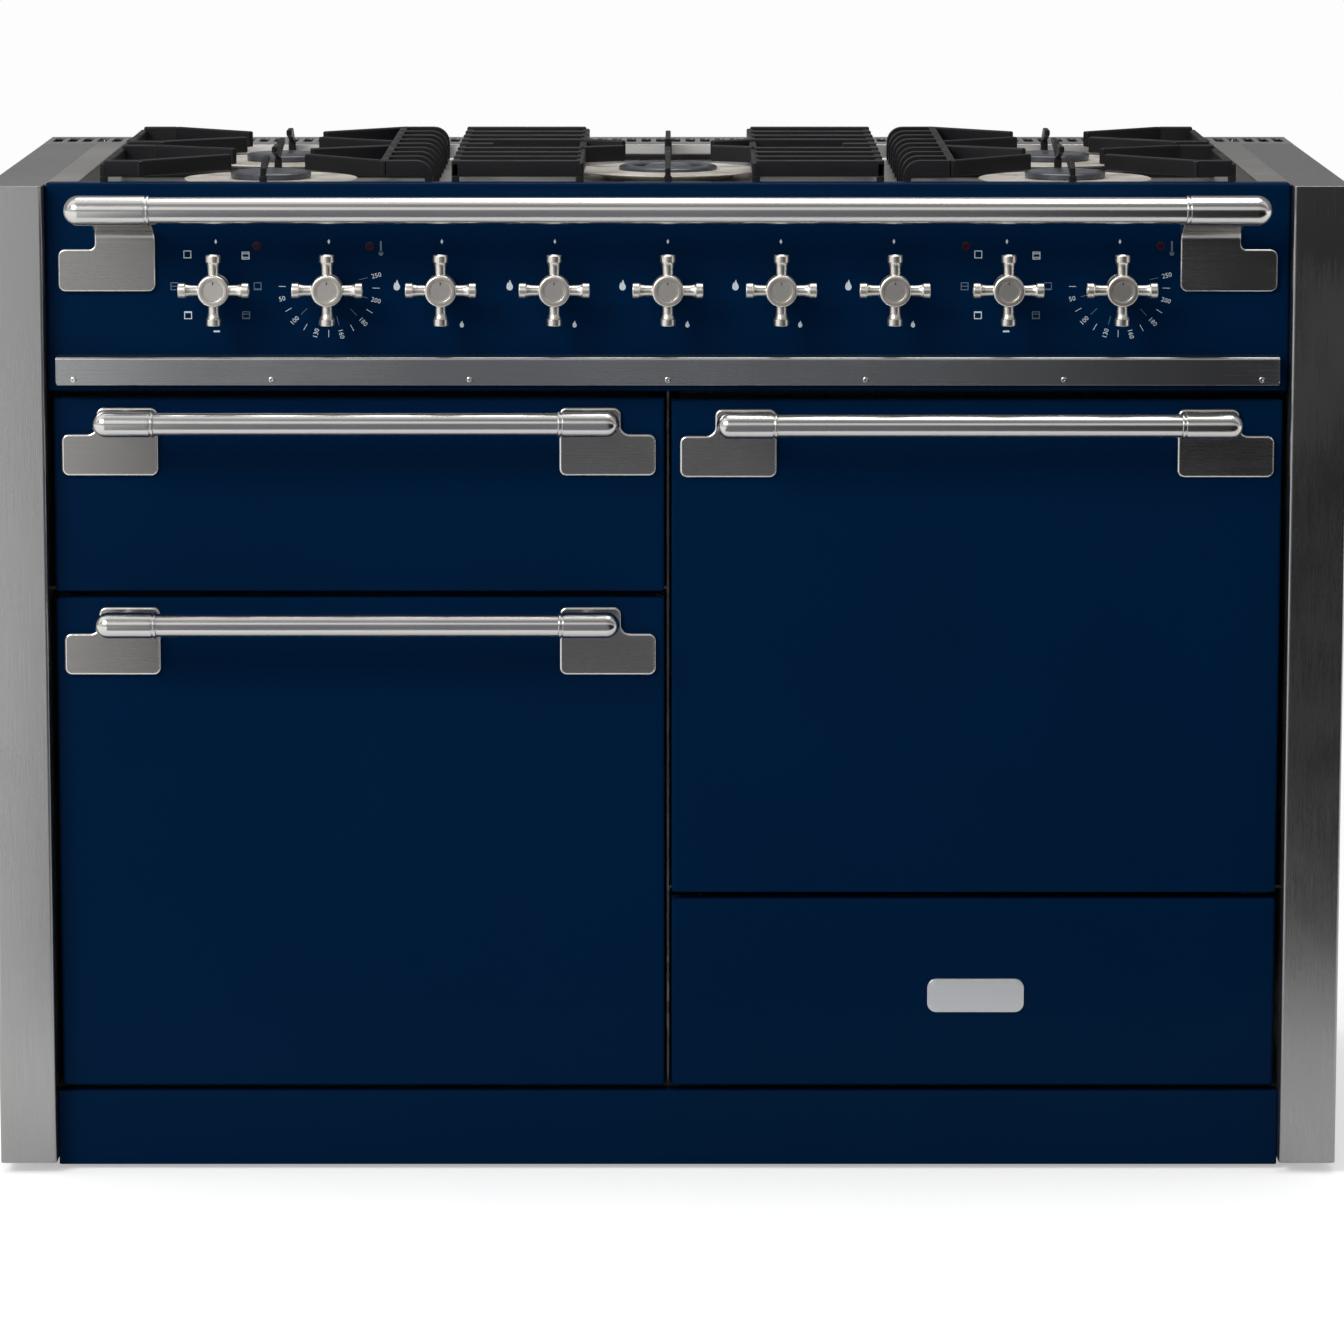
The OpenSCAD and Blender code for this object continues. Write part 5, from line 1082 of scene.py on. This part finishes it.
for name, at in knob_at.items():
    stamp(bright_marks, OFF_DOT, at + Vector((0, 40.5)))
    if "gas" in name:
        stamp(bright_marks, FLAME, at + Vector((-40.5, 1.5)), size=0.95)
        stamp(bright_marks, FLAME, at + Vector((17.5, -33.5)), size=0.62)
    elif "function" in name:
        for ink_sheet, u, v, bars in ICONS:
            function_icon(ink_sheet, at + Vector((u, v)), bars)
        stamp(bright_marks, rounded(bar_outline(6, 1.6), 0.7, 4), at - Vector((0, 40)))
    else:
        for k in range(TICKS):
            degrees = TICK_FROM + TICK_STEP * k
            if k % 2:
                stamp(faint_marks, bar_outline(8.0, TICK_W), around(at, degrees, 31.5), degrees)
            else:
                stamp(bright_marks, bar_outline(6.4, TICK_W), around(at, degrees, 42.0), degrees)
        thermometer(faint_marks, at + Vector((46.5, 35.5)))
piece("dial_marks", bright_marks, "cabinet", dial_ink)
piece("faint_dial_marks", faint_marks, "cabinet", faint_ink)

# %% Degrees on the oven dials
LABELS = ["50", "100", "130", "160", "180", "200", "250"]
LABEL_R, LABEL_SIZE = 43.5, 6.0


def numeral(text, at, turn):
    """A number as a thin raised mesh."""
    curve = bpy.data.curves.new("numeral", "FONT")
    curve.body = text
    curve.size = LABEL_SIZE * MM
    curve.extrude = INK * MM / 2
    curve.align_x, curve.align_y = "CENTER", "CENTER"
    curve.resolution_u = 2
    host = bpy.data.objects.new("numeral", curve)
    scene.collection.objects.link(host)
    bpy.context.view_layer.update()
    mesh = bpy.data.meshes.new_from_object(host.evaluated_get(bpy.context.evaluated_depsgraph_get()))
    bpy.data.objects.remove(host)
    mesh.transform(Matrix.Translation(vec(at[0], fascia_face - INK / 2, at[1]))
                   @ Matrix.Rotation(-math.radians(turn), 4, "Y") @ Matrix.Rotation(math.pi / 2, 4, "X"))
    return mesh


numbers = bmesh.new()
for name in ("knob_left_temperature", "knob_right_temperature"):
    for k, label in enumerate(LABELS):
        degrees = TICK_FROM + TICK_STEP * (2 * k + 1)
        at = around(knob_at[name], degrees, LABEL_R)
        upright = 180 if at.x < knob_at[name].x else 0
        numbers.from_mesh(numeral(label, at, degrees + upright))
piece("dial_numbers", numbers, "cabinet", dial_ink)

# %% Neon lamps
LAMP_OFF, LENS_R, LENS_DOME = 36.5, 3.2, 1.6
LAMP_SIDES = {"knob_left_function": 1, "knob_left_temperature": 1, "knob_right_function": -1,
              "knob_right_temperature": 1}
lenses, bezels = bmesh.new(), bmesh.new()
for name, side in LAMP_SIDES.items():
    x, z = knob_at[name] + Vector((side * LAMP_OFF, LAMP_OFF))
    dome = arc(-0.2, 0, LENS_R, 90, 180, 5)[1:-1]
    turned(lenses, [(1.0, 0), (1.0, LENS_R), (-0.2, LENS_R), *dome, (-LENS_DOME, 0)], "y", (x, fascia_face, z), 28)
    turned(bezels, [(0.3, 3.3), (0.3, 3.9), (-0.5, 3.9), (-0.8, 3.7), (-0.8, 3.4), (-0.6, 3.3)], "y",
           (x, fascia_face, z), 28)
for v in lenses.verts:
    v.co.y = max(v.co.y, (fascia_face - LENS_DOME) * MM)
piece("neon_lenses", lenses, "cabinet", lamp_lens)
piece("neon_bezels", bezels, "cabinet", moulded)

# %% [markdown]
# ## Plain plate on the drawer
# The drawer carries a small pale plate with round corners. It is left plain: one soft prism makes
# its rim, and a thinner one on top makes its field.

# %% Drawer plate
PLATE_HALF, FIELD_HALF = Vector((44, 15.5)), Vector((41, 12.5))
PLATE_ASIDE, PLATE_UP = 2.5, 84
front = low_mm("storage_front")
middle = Vector((middle_mm("storage_front").x + PLATE_ASIDE, front.z + PLATE_UP))
bm = bmesh.new()
prism(bm, rectangle(middle - PLATE_HALF, middle + PLATE_HALF, 8.5, 10), xz, front.y - 1.6, front.y + 0.1, 0.6, 3)
prism(bm, rectangle(middle - FIELD_HALF, middle + FIELD_HALF, 6.0, 8), xz, front.y - 1.9, front.y - 1.5, 0.2, 2)
piece("plain_plate", bm, "storage_drawer", plate_metal)

# %% [markdown]
# ## Hob top
# The hob is one pressed sheet: a flat border and a shallow well with soft corners. A bevelled inset
# would pinch at the corners. So it is drawn as a stack of rounded loops that are skinned together,
# and is then given its thickness.


# %% Hob top
def loft(bm, loops):
    """Skins a stack of loops of equal count, each an outline and its height, and closes the last."""
    rings = [[bm.verts.new(vec(u, v, z)) for u, v in outline] for outline, z in loops]
    count = len(rings[0])
    for a, b in zip(rings, rings[1:]):
        for k in range(count):
            bm.faces.new((a[k], a[(k + 1) % count], b[(k + 1) % count], b[k]))
    bm.faces.new(rings[-1])


TRAY_SIDE, TRAY_FRONT, TRAY_REAR, WELL_R, TRAY_SHEET = 28.0, 30.0, 8.0, 10.0, 1.3
low, high = low_mm("hob_tray"), high_mm("hob_tray")
well_low = Vector((low.x + TRAY_SIDE, low.y + TRAY_FRONT))
well_high = Vector((high.x - TRAY_SIDE, high.y - TRAY_REAR))
well_z = low.z + 1.5


def well_loop(out, z):
    """The well's outline, grown by out, at a height."""
    grow = Vector((out, out))
    return rectangle(well_low - grow, well_high + grow, max(WELL_R + out, 2.0), 10), z


rim = rectangle((low.x, low.y), (high.x, high.y), 0.8, 10)
wall = [(3.0, high.z), (1.4, high.z - 0.5), (0.4, high.z - 1.8), (-0.6, well_z + 4.2), (-1.8, well_z + 1.6),
        (-3.8, well_z + 0.4), (-6.2, well_z)]
bm = bmesh.new()
loft(bm, [(rim, high.z - 1.4), (rim, high.z)] + [well_loop(out, z) for out, z in wall])
bmesh.ops.recalc_face_normals(bm, faces=bm.faces[:])
if sum(face.normal.z for face in bm.faces) < 0:
    bmesh.ops.reverse_faces(bm, faces=bm.faces[:])
thicken(piece("hob_top", bm, "cabinet", hob_steel, ["hob_tray"]), TRAY_SHEET)

# %% [markdown]
# ## Burners
# From the tray up, a burner is a pale enamelled dish, a brass crown with flame slots, and a dark cap.
# The wok burner in the middle has two crowns, one inside the other. The slots are the gaps between
# teeth that stand in a ring.

# %% Burner places
DISH_R, WOK_DISH_R, CAP_R, WOK_CAP_R, INNER_R = 79.5, 84.5, 37.0, 46.0, 22.0
CROWN_STEP, CROWN_BAND, TOOTH_SHARE, WOK_SINK = 2.5, 8.5, 0.74, 2.5
FRONT_AT, REAR_AT, WOK_AT = 190.0, 412.0, 297.0
crown_z, cap_z, cap_top = low_mm("burner_crowns").z, high_mm("burner_crowns").z, high_mm("burner_caps").z
burner_x = high_mm("burner_crowns").x - (CAP_R - CROWN_STEP)
front_burner, rear_burner, wok_burner = (PANEL_FRONT / MM + back for back in (FRONT_AT, REAR_AT, WOK_AT))
SIDE_BURNERS = [(side * burner_x, y) for side in (-1, 1) for y in (front_burner, rear_burner)]
print("burners at", [(round(x), round(y)) for x, y in SIDE_BURNERS], "crown", round(crown_z, 1))


# %% Dishes, crowns and caps
def dish_profile(r, hub):
    """A pale dish whose thin rim stands over a narrower foot."""
    under = [(-8, 0), (-8, hub - 4), (0.2, hub - 4), (0.2, r - 24), (2.5, r - 22), (5.6, r - 6), (6.4, r - 1.4)]
    return under + [(7.1, r), (7.9, r - 0.5), (8.1, r - 2), (7.6, r - 5), (7.3, r - 11), (7.6, hub + 7),
                    (8.0, hub + 3), (7.6, hub + 1.2), (4.0, hub - 1), (4.0, 0)]


def crown_ring(at, cap_r, teeth):
    """Two rings with teeth between them, so that the flame slots are open."""
    outer, inner, tall = cap_r - CROWN_STEP, cap_r - CROWN_STEP - CROWN_BAND, cap_z - crown_z
    ring, tooth = bmesh.new(), bmesh.new()
    turned(ring, [(0, inner), (0, outer - 0.8), (0.8, outer), (2.4, outer), (2.4, inner)], "z", (*at, crown_z), 48)
    turned(ring, [(tall - 0.9, inner), (tall - 0.9, outer), (tall, outer), (tall, inner)], "z", (*at, crown_z), 48)
    half = math.pi / teeth * TOOTH_SHARE
    corners = ((inner, -half), (outer, -half), (outer, half), (inner, half))
    prism(tooth, [(r * math.cos(a), r * math.sin(a)) for r, a in corners], xy, 2.3, tall - 0.8)
    return joined(ring, repeated(tooth, RING, crown_brass, Count=teeth, Centre=vec(*at, crown_z),
                                 Axis=Vector((0, 0, 1)), Turn=2 * math.pi / teeth))


def cap_profile(r, bore=0.0):
    """A cap with a thin skirt round the crown, and a bore if it is a ring."""
    top = cap_top - cap_z
    rim = [(0, r - 2.3), (-2.8, r - 2.2), (-2.8, r - 1.0), (-2.3, r - 0.3), (1.1, r), (1.8, r), (2.7, r - 0.8),
           (top - 0.5, r - 3.2), (top - 0.15, r - 7)]
    if bore:
        return [(0, bore), *rim, (top - 0.1, bore + 5), (top - 0.8, bore + 1.2), (top - 2.0, bore)]
    return [(0, 0), *rim, (top, r * 0.4), (top, 0)]


# %% Burners
DISH_HUB, WOK_HUB, WOK_RING_BORE = 33, 44, 32.5
TEETH, WOK_TEETH, INNER_TEETH = 24, 36, 16
dishes, caps, crowns = bmesh.new(), bmesh.new(), []
for x, y in SIDE_BURNERS:
    turned(dishes, dish_profile(DISH_R, DISH_HUB), "z", (x, y, well_z), 72)
    turned(caps, cap_profile(CAP_R), "z", (x, y, cap_z), 56)
    crowns.append(crown_ring((x, y), CAP_R, TEETH))
turned(dishes, dish_profile(WOK_DISH_R, WOK_HUB), "z", (0, wok_burner, well_z), 72)
turned(caps, cap_profile(WOK_CAP_R, WOK_RING_BORE), "z", (0, wok_burner, cap_z - WOK_SINK), 64)
turned(caps, cap_profile(INNER_R), "z", (0, wok_burner, cap_z - WOK_SINK), 48)
crowns += [crown_ring((0, wok_burner), WOK_CAP_R, WOK_TEETH), crown_ring((0, wok_burner), INNER_R, INNER_TEETH)]
piece("burner_dishes", dishes, "cabinet", dish_enamel, ["burner_bases"])
piece("burner_crown_rings", joined(*crowns), "cabinet", crown_brass, ["burner_crowns"])
piece("burner_tops", caps, "cabinet", cap_iron, ["burner_caps"])

# %% [markdown]
# ## Grates
# The grates are heavy castings with flat bars, soft edges and fingers that reach in over each burner.
# The bars that repeat are laid out as a row. The short bars of the side grates curl down at their
# ends to the tray.

# %% Grate helpers
BAR_H, BAR_W, SUPPORT_H, FINGER = 15.0, 7.0, 6.0, 50.0
grate_low, grate_top = low_mm("grate_centre").z, high_mm("grate_centre").z
bar_low = grate_top - BAR_H
grate_y0 = low_mm("grate_centre").y + BAR_W / 2
grate_y1 = high_mm("grate_centre").y - BAR_W / 2


def flat_bar(bm, a, b, low=bar_low, high=grate_top):
    """A soft bar between two points of the plan."""
    a, b = Vector(a), Vector(b)
    bar = bmesh.new()
    soft_box(bar, (0, -BAR_W / 2, low), ((b - a).length, BAR_W / 2, high), 1.6, 3)
    turn = Matrix.Rotation(math.atan2(b.y - a.y, b.x - a.x), 4, "Z")
    bmesh.ops.transform(bar, matrix=Matrix.Translation(vec(a.x, a.y, 0)) @ turn, verts=bar.verts)
    pour(bar, bm)


def blade(bm, x, root_y, tip_y):
    """A thin pointed finger towards the burner."""
    outline = [(root_y, bar_low), (tip_y, grate_top - 5), (tip_y, grate_top),
               ((root_y * 2 + tip_y) / 3, grate_top), (root_y, bar_low + BAR_H / 2)]
    prism(bm, outline, yz, x - 2.5, x + 2.5, 1.0, 2)


def foot_block(bm, x, y):
    """A foot from the tray up into a bar."""
    half = BAR_W / 2
    soft_box(bm, (x - half, y - half, grate_low), (x + half, y + half, bar_low + 1), 1.2, 2)


# %% Centre grate
OPEN_HALF, SHORT_FROM = 83.0, 163.0
WOK_FINGER_ROOT, WOK_FINGER_TURN = 48, math.radians(35)
mid_half = high_mm("grate_centre").x
outer, inner = mid_half - BAR_W / 2, OPEN_HALF - BAR_W / 2
mid_pitch = (grate_y1 - grate_y0) / 8
rows = []
for y in (grate_y0, grate_y0 + 5 * mid_pitch):
    bar = bmesh.new()
    flat_bar(bar, (inner, y), (mid_half, y))
    rows.append(repeated(bar, ROW, grate_iron, Count=4, Step=vec(0, mid_pitch, 0)))
bm = bmesh.new()
flat_bar(bm, (SHORT_FROM, grate_y0 + 4 * mid_pitch), (mid_half, grate_y0 + 4 * mid_pitch))
for x in (inner, outer):
    flat_bar(bm, (x, grate_y0 - BAR_W / 2), (x, grate_y1 + BAR_W / 2), high=grate_top - 2)
    for y in (grate_y0, grate_y1):
        foot_block(bm, x, y)
for side in (-1, 1):
    tip = Vector((math.cos(WOK_FINGER_TURN), side * math.sin(WOK_FINGER_TURN))) * FINGER
    flat_bar(bm, (inner, wok_burner + side * WOK_FINGER_ROOT), Vector((0, wok_burner)) + tip)
grate = joined(bm, *rows)
mirrored(grate)
for side, y in ((-1, grate_y0), (1, grate_y1)):
    flat_bar(grate, (-outer, y), (outer, y), grate_low, grate_low + SUPPORT_H)
    foot_block(grate, 0, y)
    blade(grate, 0, y + side * BAR_W / 2, wok_burner + side * FINGER)
piece("centre_grate", grate, "cabinet", grate_iron, ["grate_centre"])

# %% Side grates
COMBS, COMB_L, STRAIGHT, SPREAD = 9, 44.0, 32.0, 26.0
side_in = low_mm("grate_right").x
root_x = side_in + COMB_L
side_outer = high_mm("grate_right").x - BAR_W / 2
middle_y = (grate_y0 + grate_y1) / 2
FINGERS = ((front_burner, -1, grate_y0, grate_y0), (front_burner, 1, middle_y - SPREAD, middle_y),
           (rear_burner, -1, middle_y + SPREAD, middle_y), (rear_burner, 1, grate_y1, grate_y1))


def curled_bar():
    """A short bar whose free end curls down to the tray."""
    outline = [(side_in, grate_low), (side_in + BAR_W, grate_low), (side_in + BAR_W, bar_low), (root_x, bar_low),
               (root_x, grate_top), (side_in, grate_top)]
    bm = bmesh.new()
    prism(bm, rounded(outline, [1, 1, 3, 0, 0, 15], 8), xz, grate_y0 - BAR_W / 2, grate_y0 + BAR_W / 2, 1.6, 3)
    return bm


def burner_fingers(bm, centre_y, side, bent_y, blade_y):
    """Three fingers on one side of a burner: one that bends in from the outer bar, one that comes
    straight from the inner bar, and a blade."""
    tip = FINGER * math.cos(math.pi / 4)
    bend = (side_outer - STRAIGHT, bent_y)
    flat_bar(bm, (side_outer, bent_y), bend)
    turned(bm, [(0, 0), (0, 4), (13.5, 4), (14.5, 3), (14.5, 0)], "z", (*bend, bar_low), 20)
    flat_bar(bm, bend, (burner_x + tip, centre_y + side * tip))
    flat_bar(bm, (root_x, bent_y), (burner_x - tip, centre_y + side * tip))
    blade(bm, burner_x, blade_y, centre_y + side * FINGER)


def side_grate(word):
    """A side grate is drawn on the right, and flipped for the left."""
    combs = repeated(curled_bar(), ROW, grate_iron, Count=COMBS,
                     Step=vec(0, (grate_y1 - grate_y0) / (COMBS - 1), 0))
    bm = bmesh.new()
    for x, top in ((root_x, grate_top), (side_outer, grate_top - 3)):
        flat_bar(bm, (x, grate_y0 - BAR_W / 2), (x, grate_y1 + BAR_W / 2), high=top)
    for y in (grate_y0, middle_y, grate_y1):
        flat_bar(bm, (side_in + BAR_W, y), (side_outer, y), grate_low, grate_low + SUPPORT_H)
        foot_block(bm, side_outer, y)
        foot_block(bm, burner_x, y)
    for group in FINGERS:
        burner_fingers(bm, *group)
    whole = joined(bm, combs)
    if word == "left":
        flip(whole, whole.faces[:], whole.verts)
    piece(f"{word}_grate", whole, "cabinet", grate_iron, [f"grate_{word}"])


side_grate("right")
side_grate("left")

# %% [markdown]
# ## What stays as it is
# The vent, the ovens' insides, the racks, the hinges, the pipes and the sheet metal behind already
# have their true shape in the frame. They only need their finish.

# %% Finishes on the frame's own parts
KEPT = {
    "chassis": zinc_sheet, "back_panel": zinc_sheet, "storage_box": zinc_sheet, "fan_motors": dull_steel,
    "levelling_feet": dull_steel, "rear_vent": hob_steel, "gas_manifold": crown_brass, "control_switches": moulded,
    "left_oven_cavity": oven_enamel, "right_oven_cavity": oven_enamel, "grill_cavity": oven_enamel,
    "grill_pan": oven_enamel, "left_door_liner": oven_enamel, "right_door_liner": oven_enamel,
    "heating_elements": element_metal, "oven_racks": bright_wire, "door_seals": seal_rope,
    "fan_left": alloy, "fan_right": alloy, "left_door_hinges": dull_steel, "right_door_hinges": dull_steel,
    **{f"tap_spindle_{i}": bright_wire for i in range(1, 6)},
}
for name, finish in KEPT.items():
    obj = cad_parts[name]
    if not obj.material_slots:
        obj.data.materials.append(finish)
    for slot in obj.material_slots:
        slot.material = finish
print("kept", len(KEPT), "parts of the frame")

# %% [markdown]
# ## Back
# Behind, the sheet is held by screws along its rim and breathes through pressed louvres. Both
# repeat evenly, so one of each is modelled, and the row tree lays out the rest.

# %% Louvres and screws on the back
LOUVRES, LOUVRE_W, LOUVRE_STEP, LOUVRE_FOOT, COLUMN_X = 9, 120.0, 13.0, 455, 277.6
SCREW_IN, SCREW_UP, RIM_SCREWS = 12, 14, 8
low, high = low_mm("back_panel"), high_mm("back_panel")
rear = high_mm("chassis").y + 2.3
louvre, screw = bmesh.new(), bmesh.new()
hood = rounded([(rear, 0), (rear + 4.2, 0), (rear + 4.2, 2.5), (rear, 8.0)], [0, 1.2, 1.5, 0], 4)
prism(louvre, [(y, z + LOUVRE_FOOT) for y, z in hood], yz, -COLUMN_X - LOUVRE_W / 2, -COLUMN_X + LOUVRE_W / 2, 0.5)
column = repeated(louvre, ROW, zinc_sheet, Count=LOUVRES, Step=vec(0, 0, LOUVRE_STEP))
louvres = repeated(column, ROW, zinc_sheet, Count=2, Step=vec(2 * COLUMN_X, 0, 0))
piece("back_louvres", louvres, "cabinet", zinc_sheet)

turned(screw, [(0, 0), (0, 4.2), (0.6, 4.2), (1.6, 3.4), (2.3, 1.6), (2.3, 0)], "y",
       (low.x + SCREW_IN, rear, low.z + SCREW_UP), 18)
screw_step = (high.x - low.x - 2 * SCREW_IN) / (RIM_SCREWS - 1)
bottom = repeated(screw, ROW, dull_steel, Count=RIM_SCREWS, Step=vec(screw_step, 0, 0))
screws = repeated(bottom, ROW, dull_steel, Count=2, Step=vec(0, 0, high.z - low.z - 2 * SCREW_UP))
piece("back_screws", screws, "cabinet", dull_steel)
